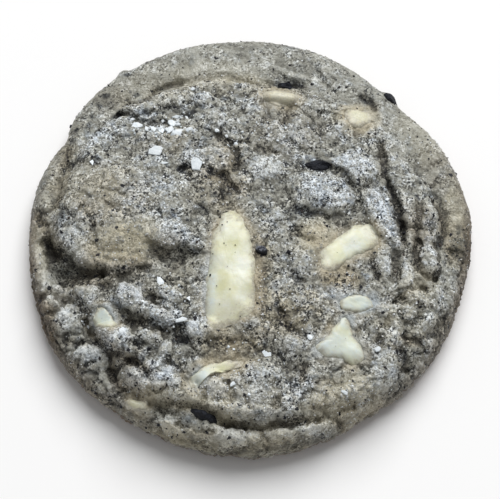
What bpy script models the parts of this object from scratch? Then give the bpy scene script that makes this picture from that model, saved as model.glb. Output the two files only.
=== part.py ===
"""Cookies and cream cookie, modelled at its real size.

One baked body of dough with its relief and salt flakes, nine white chocolate chunks and five dark
cookie pieces set in it. Lengths in the tables are millimetres, converted once where meshes are
made. The origin is on the ground under the middle, +Z is up, +Y is the far side and +X the right.
"""
import math

import bpy
import numpy as np

MM = 0.001

# The round body: plan radius and the edge of its thick middle, every 15 degrees from +X to +Y.
RIM_RADII = (45.1, 45.1, 44.4, 43.0, 44.2, 45.1, 45.3, 45.9, 46.1, 46.2, 44.7, 45.3,
             45.0, 45.1, 45.7, 45.4, 45.1, 45.4, 45.6, 45.0, 44.1, 44.4, 44.5, 44.4)
MIDDLE_RADII = (38.3, 37.8, 34.5, 36.5, 34.5, 34.0, 33.8, 35.0, 36.5, 39.0, 39.0, 39.5,
                40.0, 38.5, 37.8, 38.6, 41.5, 40.5, 41.0, 41.8, 42.2, 42.3, 42.0, 40.5)
# Small swellings and notches of the outline: angle in degrees, half width in degrees, height.
RIM_BUMPS = ((125.5, 1.8, 0.9), (143.0, 5.0, 0.4), (150.5, 3.0, -0.7), (88.0, 5.0, 0.3),
             (6.0, 4.0, 0.3), (47.5, 2.6, 1.3))

BULGE_HEIGHT = 3.5       # height of the widest line above the ground
TUCK = 2.6               # how far the underside pulls in below it
SKIRT_RISE = 4.1         # rise of the rounded edge above the widest line
SKIRT_SLOPE = 0.06       # gentle rise of the thin skirt towards the middle
# Plan width of that rounded edge and height of the step up to the thick middle, every 15 degrees.
SKIRT_ROUNDS = (3.0, 3.2, 3.6, 4.2, 5.0, 5.2, 5.0, 5.0, 5.0, 4.6, 4.2, 3.8,
                3.2, 2.8, 2.6, 2.6, 2.6, 2.6, 2.6, 2.6, 2.6, 2.6, 2.6, 2.8)
MIDDLE_STEPS = (1.8, 1.6, 1.5, 1.4, 1.4, 1.6, 1.8, 1.8, 1.8, 2.0, 2.2, 2.6,
                2.6, 2.8, 2.8, 3.0, 3.0, 3.2, 3.2, 3.2, 3.0, 2.8, 2.4, 2.0)
MIDDLE_STEP_WIDTH = 2.6
DOME_RISE = 3.6          # further rise of the middle to its top
DOME_POWER = 2.8

RELIEF_MARGIN = 2.4      # the relief grows from nothing at the rim to its full height over this width
LUMP_SPREAD = 1.15       # a lump's foot lies this share of its half sizes from its middle
KNOB_SPREAD = 1.36       # the same for a knob, so that knobs side by side overlap
FOLD_EDGE = 1.3          # plan width of the drop of a fold
CREASE_FLOOR = 0.3       # half width of a crease's floor
NARROWEST_SHOULDER = 1.2 # width below which this body's facets can't follow a crease

# Broad lumps (positive) and hollows (negative) of the top, which add up:
# x, y, half length, half width, turn in degrees, height, softness (1 is a dome, more is a softer edge).
LUMPS = (
    (-7.5, -34.5, 16.5, 5.0, 0, 1.0, 0.5),
    (-2.0, -41.5, 16.0, 3.5, 0, 1.8, 0.6),
    (-26.0, 3.5, 13.5, 11.5, 0, 2.2, 1.0),
    (-33.0, 17.0, 4.0, 2.5, 10, 0.9, 1.0),
    (-18.5, 28.0, 7.5, 2.0, 14, 1.3, 1.0),
    (-9.5, 28.5, 2.0, 2.0, -10, 0.9, 1.0),
    (-5.5, 23.0, 4.0, 2.0, -15, 1.3, 0.9),
    (-8.0, 14.0, 4.5, 4.5, 0, 1.4, 0.9),
    (8.5, 36.0, 4.5, 1.0, -20, 0.8, 1.2),
    (7.0, 28.5, 5.5, 1.5, -4, 1.3, 0.9),
    (15.5, 27.5, 4.0, 1.5, -28, 1.0, 0.9),
    (0.0, 22.5, 2.0, 2.5, 20, 0.7, 1.0),
    (5.0, 20.5, 2.5, 2.5, 30, 0.8, 1.0),
    (10.0, 20.5, 2.5, 2.5, -40, 0.9, 1.0),
    (3.0, 11.5, 3.5, 3.0, 0, 1.1, 1.0),
    (17.5, 20.5, 3.5, 2.0, 40, 0.8, 1.0),
    (30.5, 15.5, 3.0, 3.0, 0, 0.8, 1.2),
    (-42.5, -3.5, 1.5, 7.5, -12, 1.0, 0.9),
    (-36.0, -9.0, 4.5, 3.0, -15, -2.2, 1.2),
    (-27.0, -12.5, 5.5, 2.0, 0, -1.2, 1.2),
    (-14.0, -8.5, 5.0, 2.0, 0, -0.8, 1.2),
)

# Knobs of dough that touch in creases, the highest one counting: the same numbers as the lumps.
KNOBS = (
    (21.5, 12.5, 4.5, 3.0, -8, 1.8, 0.8),
    (14.5, 6.5, 5.5, 3.5, -15, 1.9, 0.8),
    (26.0, 1.5, 6.0, 2.0, -62, 2.1, 0.7),
    (32.0, -2.5, 2.0, 2.0, 0, 1.0, 0.5),
    (36.5, 1.5, 2.0, 4.5, -8, 1.6, 0.5),
    (26.5, -8.5, 1.5, 3.0, 0, 1.3, 0.65),
    (31.0, -11.5, 1.5, 3.5, 0, 1.4, 0.65),
    (33.0, -15.0, 2.0, 1.5, 0, 1.2, 0.65),
    (35.5, -19.5, 2.0, 2.0, 0, 1.2, 0.65),
    (27.0, -18.0, 2.0, 1.5, 0, 1.2, 0.65),
    (27.5, -23.5, 2.0, 2.0, 0, 1.3, 0.65),
    (27.0, -31.0, 3.0, 4.5, -15, 1.6, 0.65),
    (23.0, -33.0, 2.0, 1.5, 10, 1.1, 0.65),
    (7.5, -26.0, 2.0, 2.5, 0, 1.6, 0.65),
    (2.5, -31.5, 3.0, 2.5, 0, 1.3, 0.65),
    (12.5, -32.5, 2.5, 2.5, 0, 1.1, 0.65),
    (15.5, -36.0, 3.0, 2.0, -20, 1.4, 0.65),
    (19.5, -35.0, 2.5, 1.5, -10, 1.2, 0.65),
    (18.5, -38.5, 2.5, 1.5, 5, 1.4, 0.65),
    (12.0, -37.5, 2.0, 1.5, 0, 1.1, 0.65),
    (4.5, -37.5, 4.5, 3.0, 0, 1.2, 0.6),
    (12.0, -41.0, 4.0, 1.5, 4, 1.8, 0.65),
    (5.5, -42.5, 3.0, 1.5, 5, 1.3, 0.5),
    (-2.5, -43.0, 3.5, 2.0, 0, 1.4, 0.5),
    (-7.0, -42.0, 2.5, 1.5, 0, 1.2, 0.5),
    (1.0, -43.5, 3.0, 2.0, 0, 1.3, 0.5),
    (-10.0, -41.0, 3.5, 2.0, -12, 1.3, 0.5),
    (-16.0, -40.5, 2.5, 2.0, -20, 1.3, 0.65),
    (-24.0, -36.5, 5.0, 1.5, -20, 1.4, 0.65),
    (-6.5, -35.5, 4.0, 3.5, 0, 1.4, 0.7),
    (-0.5, -35.5, 4.5, 4.0, 0, 1.4, 0.7),
    (-13.0, -36.5, 3.5, 2.5, -10, 1.2, 0.6),
    (-23.0, -32.5, 3.0, 3.0, -20, 2.0, 0.6),
    (-16.0, -33.0, 3.0, 2.5, -10, 2.0, 0.6),
    (-20.0, -34.0, 4.0, 2.5, -15, 1.4, 0.6),
    (-28.0, -31.5, 1.5, 3.0, 15, 1.3, 0.65),
    (-31.0, -26.0, 4.0, 2.5, -38, 2.0, 0.65),
    (-33.0, -23.0, 2.5, 1.5, -5, 1.6, 0.65),
    (-27.0, -24.5, 4.0, 3.0, -25, 2.5, 0.55),
    (-35.0, -18.5, 3.5, 3.0, -15, 2.3, 0.65),
    (-39.5, -15.5, 2.0, 2.0, 0, 1.6, 0.65),
    (-32.0, -15.0, 2.5, 2.0, -10, 1.6, 0.65),
    (-23.0, -16.5, 4.0, 2.0, -48, 2.3, 0.65),
    (-17.5, -20.5, 3.0, 1.5, -40, 2.0, 0.65),
    (-16.0, -16.5, 2.0, 2.0, 0, 1.3, 0.65),
    (-21.5, -27.0, 2.0, 1.5, -10, 1.4, 0.65),
    (-18.5, -29.5, 2.0, 1.5, 0, 1.2, 0.65),
    (-20.0, -24.5, 2.5, 1.5, -10, 1.4, 0.65),
    (-16.0, -27.5, 1.5, 2.0, 0, 1.2, 0.65),
    (-10.0, -23.0, 3.0, 2.0, 10, 1.9, 0.65),
    (-15.5, -4.0, 3.5, 3.0, 0, 2.0, 0.8),
    (32.0, 3.5, 2.0, 3.5, 0, 1.0, 0.5),
    (35.0, -6.5, 2.0, 3.5, 0, 1.4, 0.5),
)

# Folds, where the crust drops to the right of a path and climbs back: drop, width of the climb, path.
FOLDS = (
    (1.0, 3.6, ((-28.5, 28.5), (-21.0, 24.0), (-14.5, 24.0))),
    (1.0, 2.0, ((-14.5, 25.0), (-12.5, 25.5), (-11.5, 27.0), (-9.5, 26.5), (-8.5, 27.5))),
    (1.1, 2.2, ((-1.5, 23.5), (-2.5, 26.0), (-7.0, 28.5), (-9.0, 32.0))),
    (1.1, 2.6, ((-12.0, 22.5), (-5.5, 19.5))),
    (1.0, 2.6, ((-3.5, 9.0), (-5.0, 17.5), (-6.5, 19.0))),
    (0.9, 2.4, ((-21.5, 32.0), (-13.0, 35.5))),
    (0.6, 1.8, ((-11.5, 36.0), (-6.0, 36.5), (-2.5, 35.5))),
    (0.6, 1.6, ((-8.0, 32.0), (1.5, 29.5))),
    (1.0, 2.2, ((-1.5, 35.5), (6.0, 34.0), (10.5, 34.5))),
    (0.8, 2.0, ((14.0, 39.0), (18.5, 31.5))),
    (0.6, 2.0, ((17.0, 28.5), (20.5, 27.0))),
    (0.6, 2.2, ((21.0, 29.0), (23.0, 28.0), (28.0, 22.0))),
    (1.0, 2.2, ((7.0, 19.5), (10.0, 17.0), (14.0, 17.0))),
    (1.4, 2.8, ((13.5, 14.0), (16.0, 13.5), (22.0, 8.5))),
    (1.1, 2.6, ((29.0, -4.5), (22.0, 7.5))),
    (0.7, 2.6, ((8.0, 5.5), (9.5, 3.5), (15.0, 2.0), (20.0, 4.0), (21.0, 6.0))),
    (1.3, 1.8, ((30.0, -4.5), (29.5, 3.5), (26.5, 10.5))),
    (0.7, 2.6, ((39.5, -2.5), (38.0, 7.0), (36.0, 8.5))),
    (0.8, 1.8, ((30.5, -3.5), (32.0, -4.0), (35.0, -2.5), (36.5, -3.0))),
    (3.6, 5.5, ((-41.0, 0.5), (-39.5, -2.5), (-35.5, -6.0), (-27.0, -10.0))),
    (1.4, 3.6, ((-29.5, -8.0), (-25.0, -10.0), (-19.5, -8.5))),
    (1.5, 3.4, ((-19.0, -4.0), (-17.0, -6.0), (-9.5, -5.5))),
    (0.7, 3.0, ((24.0, -35.5), (29.0, -30.5), (29.0, -26.0), (27.5, -24.5))),
    (1.3, 2.4, ((-31.0, -21.0), (-30.0, -23.0), (-26.0, -26.0), (-23.5, -24.5))),
    (1.1, 2.4, ((-26.0, -31.0), (-24.0, -34.0), (-19.5, -35.0))),
    (0.7, 2.4, ((-9.0, -24.5), (-7.0, -23.5), (-2.0, -23.5))),
    (0.8, 1.8, ((-3.5, -27.5), (0.0, -26.5))),
    (1.0, 1.6, ((-37.5, -21.0), (-34.0, -21.0), (-32.5, -19.5))),
    (1.0, 2.0, ((-19.5, -19.5), (-18.5, -21.0), (-15.5, -22.0))),
    (1.0, 2.2, ((-27.0, -14.5), (-26.0, -16.5), (-22.0, -19.5), (-20.5, -19.5))),
)

# Creases between rounded shoulders: depth, width of a shoulder, path.
CREASES = (
    (0.7, 1.4, ((-26.5, 28.0), (-25.5, 29.5), (-23.0, 28.0), (-21.5, 28.5), (-19.5, 32.5),
              (-15.0, 34.5))),
    (1.0, 1.4, ((-13.5, 12.0), (-8.5, 11.0), (-2.5, 6.5))),
    (0.9, 1.6, ((-6.5, 19.5), (-5.0, 16.5), (-3.0, 15.5), (-3.5, 12.5))),
    (0.7, 1.4, ((8.0, 26.5), (7.0, 23.0))),
    (1.1, 1.0, ((27.0, 19.0), (27.0, 11.5), (30.0, 3.0), (30.5, -4.0))),
    (0.8, 1.6, ((-37.5, 19.0), (-39.0, 6.5))),
    (1.2, 1.8, ((-43.0, 4.0), (-38.5, -4.0))),
    (0.7, 1.6, ((-34.0, 4.0), (-31.0, -1.0), (-31.5, -5.0))),
    (1.4, 0.9, ((33.0, -3.5), (33.5, -9.0), (35.0, -10.5), (37.0, -10.0))),
    (1.0, 0.9, ((37.0, 7.0), (38.5, 5.0), (39.0, -2.5))),
    (1.2, 1.0, ((30.0, -23.5), (33.0, -24.0))),
    (0.9, 1.0, ((38.5, -18.0), (35.0, -23.0))),
    (1.4, 1.2, ((29.0, -26.0), (29.5, -27.0))),
    (1.4, 1.0, ((29.5, -29.0), (30.5, -28.5))),
    (0.8, 1.2, ((6.0, -19.0), (7.0, -22.0), (9.5, -24.5))),
    (0.9, 1.0, ((5.5, -36.5), (5.0, -38.0))),
    (1.2, 0.9, ((10.5, -30.0), (10.0, -33.0))),
    (1.0, 0.9, ((12.0, -38.0), (15.0, -37.5))),
    (1.4, 1.0, ((17.5, -38.0), (20.0, -37.0))),
    (1.4, 1.1, ((17.0, -39.0), (18.5, -40.5))),
    (1.2, 0.7, ((-1.0, -41.0), (2.5, -41.5), (13.5, -39.5))),
    (1.2, 0.8, ((2.0, -41.5), (3.5, -44.0))),
    (1.0, 0.9, ((-14.0, -40.5), (-10.5, -42.5), (-7.5, -42.5))),
    (1.0, 1.2, ((-38.5, -13.5), (-35.0, -15.0), (-32.0, -18.0))),
    (1.0, 1.0, ((-43.0, -13.0), (-41.5, -13.5), (-40.0, -12.0))),
    (0.9, 1.0, ((-41.0, -16.5), (-39.5, -17.0), (-38.5, -16.0))),
    (1.3, 1.0, ((-32.5, -19.0), (-30.0, -23.5), (-22.0, -29.0))),
    (0.9, 1.2, ((-22.0, -29.0), (-19.0, -32.0))),
    (1.2, 0.9, ((-27.0, -26.0), (-27.0, -30.0), (-24.5, -33.5), (-19.0, -35.5))),
    (1.8, 0.8, ((-19.5, -36.5), (-10.5, -38.0), (-1.0, -41.0))),
    (1.2, 0.8, ((-19.5, -34.5), (-16.5, -34.5))),
    (0.9, 1.0, ((-23.0, -25.0), (-21.5, -26.5))),
    (0.8, 1.4, ((-24.0, -20.0), (-22.5, -21.5), (-21.0, -20.5))),
    (0.9, 1.4, ((-18.5, -23.0), (-15.0, -22.5))),
    (0.9, 1.2, ((-19.5, -16.5), (-16.5, -19.5))),
    (1.0, 1.2, ((-15.5, -29.5), (-14.0, -30.5), (-12.5, -33.5))),
    (0.9, 1.0, ((-36.0, -23.0), (-32.5, -24.0))),
    (0.8, 1.2, ((8.0, -2.5), (13.0, -4.0))),
    (0.9, 1.2, ((23.5, 31.0), (26.0, 28.0))),
    (0.9, 1.0, ((-10.0, -33.5), (-9.0, -36.5))),
)

# Unevenness of the whole top: width of its lumps, height, seed.
UNEVENNESS = ((7.0, 0.30, 11), (3.4, 0.30, 12))
# Wandering of the lumps and creases in plan: width of its bends, shift, seed.
WANDER = ((4.5, 0.55, 13),)
NOISE_CELLS = 64

# White chocolate chunks: proud height of the middle, depth, facets round it, outline in plan.
CHOCOLATE = (
    (0.6, 3.4, 28, (
        (-3.6, 2.0), (-1.8, 0.9), (-0.6, -1.9), (0.2, -5.0), (1.0, -9.5), (1.2, -14.1), (0.8, -18.1),
        (-0.4, -20.4), (-4.0, -22.1), (-7.6, -23.1), (-8.5, -20.5), (-8.6, -16.0), (-8.4, -11.0),
        (-7.9, -6.5), (-6.9, -2.4), (-5.4, 1.0))),
    (0.5, 2.8, 22, (
        (13.9, -8.8), (14.2, -6.4), (16.4, -4.1), (18.9, -2.1), (21.6, -0.4), (23.8, -0.1),
        (25.2, -1.8), (25.5, -4.0), (23.8, -5.9), (21.0, -7.1), (18.7, -8.6), (17.1, -10.3),
        (15.0, -11.0))),
    (0.5, 2.8, 22, (
        (18.0, -20.0), (19.4, -20.5), (19.9, -22.2), (20.8, -24.8), (22.3, -26.8), (21.7, -28.7),
        (20.0, -29.4), (17.4, -28.5), (14.9, -28.0), (13.0, -26.9), (12.8, -25.7), (14.4, -24.5),
        (16.1, -22.7), (17.2, -21.0))),
    (0.4, 2.2, 16, (
        (17.8, -17.0), (18.8, -15.9), (20.4, -15.6), (22.2, -15.5), (23.6, -16.1), (24.1, -17.3),
        (23.3, -18.2), (21.5, -18.9), (19.7, -18.9), (18.4, -18.3))),
    (0.3, 2.2, 16, (
        (-30.2, -17.4), (-28.4, -17.5), (-26.8, -19.8), (-26.1, -21.6), (-27.9, -22.4),
        (-30.2, -21.0), (-30.8, -19.0))),
    (0.2, 1.6, 14, (
        (-24.0, -35.7), (-21.8, -35.5), (-19.6, -36.4), (-20.0, -37.8), (-22.3, -37.6), (-24.1, -36.8))),
    (0.4, 2.0, 18, (
        (-11.8, -33.4), (-10.4, -31.4), (-8.3, -29.9), (-5.4, -29.2), (-3.0, -28.9), (-1.4, -29.6),
        (-2.4, -30.9), (-5.0, -31.6), (-7.6, -32.2), (-9.2, -33.6), (-10.8, -34.8))),
    (0.2, 2.0, 16, (
        (19.6, 26.6), (21.9, 27.5), (24.6, 27.0), (25.6, 25.4), (24.4, 23.6), (21.7, 22.3),
        (19.8, 23.6))),
    (0.2, 1.8, 16, (
        (2.5, 29.6), (4.6, 31.2), (7.8, 30.5), (10.1, 29.2), (9.2, 27.3), (6.6, 26.8), (3.4, 27.4))),
)

# Dark cookie pieces: x, y, half length, half width, turn in degrees, proud height, depth, seed.
COOKIE_PIECES = (
    (29.3, 31.0, 1.7, 1.2, -35, 0.6, 2.0, 21),
    (13.6, 12.7, 2.7, 1.1, 4, 0.5, 2.4, 22),
    (-9.0, -39.2, 2.9, 1.0, -26, 0.7, 2.4, 23),
    (2.3, -6.9, 1.2, 0.8, -20, 0.8, 2.0, 24),
    (7.6, 33.2, 1.9, 1.0, -10, 0.5, 2.0, 25),
)
COOKIE_FOLLOW = 0.5      # a dark piece follows this share of the relief under it

# Salt flakes fused to the dough: x, y, length, width, turn in degrees.
SALT_FLAKES = (
    (-19.0, 15.8, 2.6, 2.0, 12), (-11.0, 12.4, 2.0, 2.8, 15), (-14.2, 20.0, 2.8, 1.3, -4),
    (-23.1, 22.7, 1.9, 1.4, 10), (-21.0, 21.2, 1.3, 1.1, -20), (-19.7, 21.1, 1.3, 1.4, 30),
    (-18.1, 20.8, 1.5, 2.0, 15), (-15.9, 23.0, 1.8, 1.9, 40), (-12.4, 20.5, 1.6, 0.8, 25),
    (-15.1, 24.3, 1.8, 0.8, 8), (-24.0, 24.3, 1.3, 0.7, 10), (-17.3, 12.7, 1.8, 0.6, 5),
    (-32.0, 14.0, 1.0, 1.4, 5), (-17.6, -13.0, 1.3, 2.4, 25), (-11.9, -16.6, 1.1, 1.1, 0),
    (-13.6, -21.1, 2.6, 0.9, 18), (-24.9, -22.9, 1.7, 1.3, 30), (3.2, -27.4, 1.9, 2.2, 8),
    (11.6, -24.4, 1.3, 1.0, -30), (24.8, -26.6, 1.2, 1.0, 40), (18.2, -35.0, 1.6, 0.8, -35),
    (-3.2, -34.0, 1.9, 0.8, 35), (-6.7, 20.5, 1.2, 0.9, -40), (-4.7, 19.3, 1.0, 0.8, -30),
)
FLAKE_THICKNESS = 0.9
FLAKE_SUNK = 0.45
FLAKE_TOP_SHARE = 0.62   # the upper face is this share of the lower one

GAP = 0.3                # free space between a set-in piece and the dough
TOP_RINGS = 34           # rings of facets over the top, six facets more in each
SIDE_ROWS = 4            # facets down the rounded side
RIM_CROWDING = 0.055     # draws the outer facets of the top towards the rim
RIM_CROWDING_POWER = 18
SHARD_SIDES = 11         # facets round a dark cookie piece


def ease(share):
    """Smooth step from 0 to 1."""
    share = np.clip(share, 0.0, 1.0)
    return share * share * (3.0 - 2.0 * share)


def round_curve(values, angle):
    """Smooth closed curve through values spaced evenly round the circle, read at an angle."""
    values = np.asarray(values)
    count = len(values)
    place = np.mod(angle / (2.0 * np.pi) * count, count)
    first = np.floor(place).astype(int)
    part = place - first
    before, start, end, after = (values[(first + step) % count] for step in (-1, 0, 1, 2))
    bend = 2.0 * before - 5.0 * start + 4.0 * end - after
    twist = 3.0 * start - before - 3.0 * end + after
    return start + 0.5 * part * (end - before + part * (bend + part * twist))


def rim_radius(angle):
    """Plan radius of the widest line."""
    radius = round_curve(RIM_RADII, angle)
    for centre, half_width, height in RIM_BUMPS:
        away = np.mod(np.degrees(angle) - centre + 180.0, 360.0) - 180.0
        radius = radius + height * np.exp(-(away / half_width) ** 2)
    return radius


def turned(x, y, centre_x, centre_y, degrees):
    """Coordinates along and across a piece that is turned about its centre."""
    turn = math.radians(degrees)
    along = (x - centre_x) * math.cos(turn) + (y - centre_y) * math.sin(turn)
    across = (y - centre_y) * math.cos(turn) - (x - centre_x) * math.sin(turn)
    return along, across


def path_distance(x, y, path):
    """Plan distance from each point to a path of straight stretches."""
    nearest = np.full(np.shape(x), np.inf)
    for (ax, ay), (bx, by) in zip(path, path[1:]):
        length_squared = (bx - ax) ** 2 + (by - ay) ** 2
        share = np.clip(((x - ax) * (bx - ax) + (y - ay) * (by - ay)) / length_squared, 0.0, 1.0)
        distance = np.hypot(x - ax - share * (bx - ax), y - ay - share * (by - ay))
        nearest = np.minimum(nearest, distance)
    return nearest


def right_of_path(x, y, path):
    """Plan distance to the right of a path, negative to its left, and a share that fades at its ends."""
    nearest = np.full(np.shape(x), np.inf)
    away = np.zeros(np.shape(x))
    travelled = np.zeros(np.shape(x))
    length = 0.0
    for (ax, ay), (bx, by) in zip(path, path[1:]):
        step = math.hypot(bx - ax, by - ay)
        share = np.clip(((x - ax) * (bx - ax) + (y - ay) * (by - ay)) / step ** 2, 0.0, 1.0)
        distance = np.hypot(x - ax - share * (bx - ax), y - ay - share * (by - ay))
        right = (x - ax) * (by - ay) - (y - ay) * (bx - ax)
        closer = distance < nearest
        nearest = np.where(closer, distance, nearest)
        away = np.where(closer, np.sign(right) * distance, away)
        travelled = np.where(closer, length + share * step, travelled)
        length += step
    fade = min(2.0, 0.3 * length)
    return away, ease(np.minimum(travelled, length - travelled) / fade)


def unevenness(x, y, width, seed):
    """Smooth seeded noise from -1 to 1 whose lumps are about the given width."""
    table = np.random.default_rng(seed).uniform(-1.0, 1.0, (NOISE_CELLS, NOISE_CELLS))
    column = np.floor(x / width).astype(int)
    row = np.floor(y / width).astype(int)
    right = ease(x / width - column)
    up = ease(y / width - row)

    def corner(step_x, step_y):
        return table[(column + step_x) % NOISE_CELLS, (row + step_y) % NOISE_CELLS]

    low = corner(0, 0) * (1.0 - right) + corner(1, 0) * right
    high = corner(0, 1) * (1.0 - right) + corner(1, 1) * right
    return low * (1.0 - up) + high * up


def base_height(x, y):
    """Height of the plain dough at plan points inside the rim: rounded edge, skirt, step and dome."""
    radius = np.hypot(x, y)
    angle = np.arctan2(y, x)
    inside = np.maximum(rim_radius(angle) - radius, 0.0)
    middle = round_curve(MIDDLE_RADII, angle)
    skirt_round = round_curve(SKIRT_ROUNDS, angle)
    rounding = 1.0 - np.minimum(inside / skirt_round, 1.0)
    height = BULGE_HEIGHT + SKIRT_RISE * np.sqrt(1.0 - rounding ** 2)
    height = height + SKIRT_SLOPE * np.maximum(inside - skirt_round, 0.0)
    step = round_curve(MIDDLE_STEPS, angle)
    height = height + step * ease((middle - radius) / MIDDLE_STEP_WIDTH + 0.3)
    return height + DOME_RISE * (1.0 - np.clip(radius / middle, 0.0, 1.0) ** DOME_POWER)


def lump_height(x, y, row, spread):
    """Height of one rounded lump over plan points, 0 outside it."""
    centre_x, centre_y, half_length, half_width, turn, rise, softness = row
    along, across = turned(x, y, centre_x, centre_y, turn)
    reach = ((along / half_length) ** 2 + (across / half_width) ** 2) / spread ** 2
    return rise * np.maximum(1.0 - reach, 0.0) ** softness


def relief_height(x, y):
    """Lumps, folds and creases over the plain dough at plan points, nothing at the rim."""
    inside = np.maximum(rim_radius(np.arctan2(y, x)) - np.hypot(x, y), 0.0)
    relief = np.zeros(np.shape(x))
    plain_x, plain_y = x, y
    for width, shift, seed in WANDER:
        x = x + shift * unevenness(plain_x, plain_y, width, seed)
        y = y + shift * unevenness(plain_x, plain_y, width, seed + 1)
    for row in LUMPS:
        relief = relief + lump_height(x, y, row, LUMP_SPREAD)
    knobs = np.zeros(np.shape(x))
    for row in KNOBS:
        knobs = np.maximum(knobs, lump_height(x, y, row, KNOB_SPREAD))
    relief = relief + knobs
    for drop, climb, path in FOLDS:
        away, taper = right_of_path(x, y, path)
        relief = relief - drop * taper * ease(away / FOLD_EDGE) * (1.0 - ease(away / climb))
    for depth, shoulder, path in CREASES:
        away = np.maximum(path_distance(x, y, path) - CREASE_FLOOR, 0.0)
        near = np.clip(1.0 - away / (1.6 * max(shoulder, NARROWEST_SHOULDER)), 0.0, 1.0)
        relief = relief - depth * (1.0 - np.sqrt(1.0 - near ** 2))
    for width, rise, seed in UNEVENNESS:
        relief = relief + rise * unevenness(x, y, width, seed)
    return relief * ease(inside / RELIEF_MARGIN)


def top_height(x, y):
    """Height of the dough's top above the ground at plan points inside the rim."""
    return base_height(x, y) + relief_height(x, y)


def new_material(name, colour, roughness):
    """Plain surface material in the piece's own colour."""
    material = bpy.data.materials.new(name)
    material.use_nodes = True
    shader = material.node_tree.nodes["Principled BSDF"]
    shader.inputs["Base Color"].default_value = (*colour, 1.0)
    shader.inputs["Roughness"].default_value = roughness
    shader.inputs["Metallic"].default_value = 0.0
    return material


def new_object(name, points, faces, material=None):
    """Object from points in millimetres and faces by point number."""
    mesh = bpy.data.meshes.new(name)
    mesh.from_pydata((np.asarray(points) * MM).tolist(), [], faces)
    mesh.validate()
    mesh.update()
    if material is not None:
        mesh.materials.append(material)
    item = bpy.data.objects.new(name, mesh)
    bpy.context.scene.collection.objects.link(item)
    return item


def split_quad(a, b, c, d):
    """Two triangles that fill a four-sided face."""
    return [(a, b, c), (a, c, d)]


def ring_disc(rings):
    """Unit disc of rings of 6, 12, 18 ... points: plan points, triangles and the loop of its rim."""
    plan = [(0.0, 0.0)]
    triangles = []
    for ring in range(1, rings + 1):
        outer_start = len(plan)
        inner_start = outer_start - max(6 * (ring - 1), 1)
        for place in range(6 * ring):
            angle = 2.0 * math.pi * place / (6 * ring)
            plan.append((ring / rings * math.cos(angle), ring / rings * math.sin(angle)))
            sector, step = divmod(place, ring)
            outer = outer_start + place
            outer_next = outer_start + (place + 1) % (6 * ring)
            inner_count = max(6 * (ring - 1), 1)
            inner = inner_start + (sector * (ring - 1) + step) % inner_count
            inner_next = inner_start + (sector * (ring - 1) + step + 1) % inner_count
            triangles.append((inner, outer, outer_next))
            if step < ring - 1:
                triangles.append((inner, outer_next, inner_next))
    x, y = np.array(plan).T
    return x, y, triangles, list(range(len(plan) - 6 * rings, len(plan)))


def dough_body(material):
    """The baked dough: uneven top, rounded side and flat underside."""
    x, y, faces, rim = ring_disc(TOP_RINGS)
    ring = np.hypot(x, y)
    angle = np.arctan2(y, x)
    crowded = (1.0 + RIM_CROWDING) * ring - RIM_CROWDING * ring ** RIM_CROWDING_POWER
    radius = crowded * rim_radius(angle)
    x = radius * np.cos(angle)
    y = radius * np.sin(angle)
    points = np.column_stack((x, y, top_height(x, y)))
    points[rim, 2] = BULGE_HEIGHT
    rim_angle = angle[rim]
    rows = [points]
    upper = list(rim)
    for row in range(1, SIDE_ROWS + 1):
        turn = 0.5 * math.pi * row / SIDE_ROWS
        row_radius = rim_radius(rim_angle) - TUCK * (1.0 - math.cos(turn))
        height = BULGE_HEIGHT * (1.0 - math.sin(turn))
        flat = np.full(len(rim), height if row < SIDE_ROWS else 0.0)
        rows.append(np.column_stack((row_radius * np.cos(rim_angle), row_radius * np.sin(rim_angle), flat)))
        start = len(points) + (row - 1) * len(rim)
        lower = list(range(start, start + len(rim)))
        for place in range(len(rim)):
            after = (place + 1) % len(rim)
            faces += split_quad(lower[place], lower[after], upper[after], upper[place])
        upper = lower
    faces.append(tuple(reversed(upper)))
    return new_object("dough", np.vstack(rows), faces, material)


def smooth_loop(outline, count):
    """Closed smooth curve through an outline's points, sampled evenly along its length."""
    outline = np.asarray(outline)
    fine = np.linspace(0.0, 2.0 * np.pi, 40 * len(outline), endpoint=False)
    curve = np.column_stack([round_curve(outline[:, axis], fine) for axis in (0, 1)])
    closed = np.vstack((curve, curve[:1]))
    travelled = np.concatenate(([0.0], np.cumsum(np.hypot(*np.diff(closed, axis=0).T))))
    stops = np.linspace(0.0, travelled[-1], count, endpoint=False)
    loop = np.column_stack([np.interp(stops, travelled, closed[:, axis]) for axis in (0, 1)])
    x, y = loop.T
    if np.sum(x * np.roll(y, -1) - np.roll(x, -1) * y) < 0.0:
        loop = loop[::-1]
    return loop


def outward(loop):
    """Unit vectors pointing out of a closed loop, one for each point."""
    along = np.roll(loop, -1, axis=0) - np.roll(loop, 1, axis=0)
    normal = np.column_stack((along[:, 1], -along[:, 0]))
    return normal / np.hypot(*normal.T)[:, None]


def stacked_solid(name, levels, top, bottom, material=None):
    """Closed solid from loops of equal length, highest first, between two end points."""
    count = len(levels[0])
    points = np.vstack([*levels, top, bottom])
    peak = len(points) - 2
    foot = len(points) - 1
    faces = []
    for place in range(count):
        after = (place + 1) % count
        faces.append((peak, place, after))
        for level in range(len(levels) - 1):
            high = level * count
            low = high + count
            faces += split_quad(low + place, low + after, high + after, high + place)
        last = (len(levels) - 1) * count
        faces.append((foot, last + after, last + place))
    return new_object(name, points, faces, material)


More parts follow.
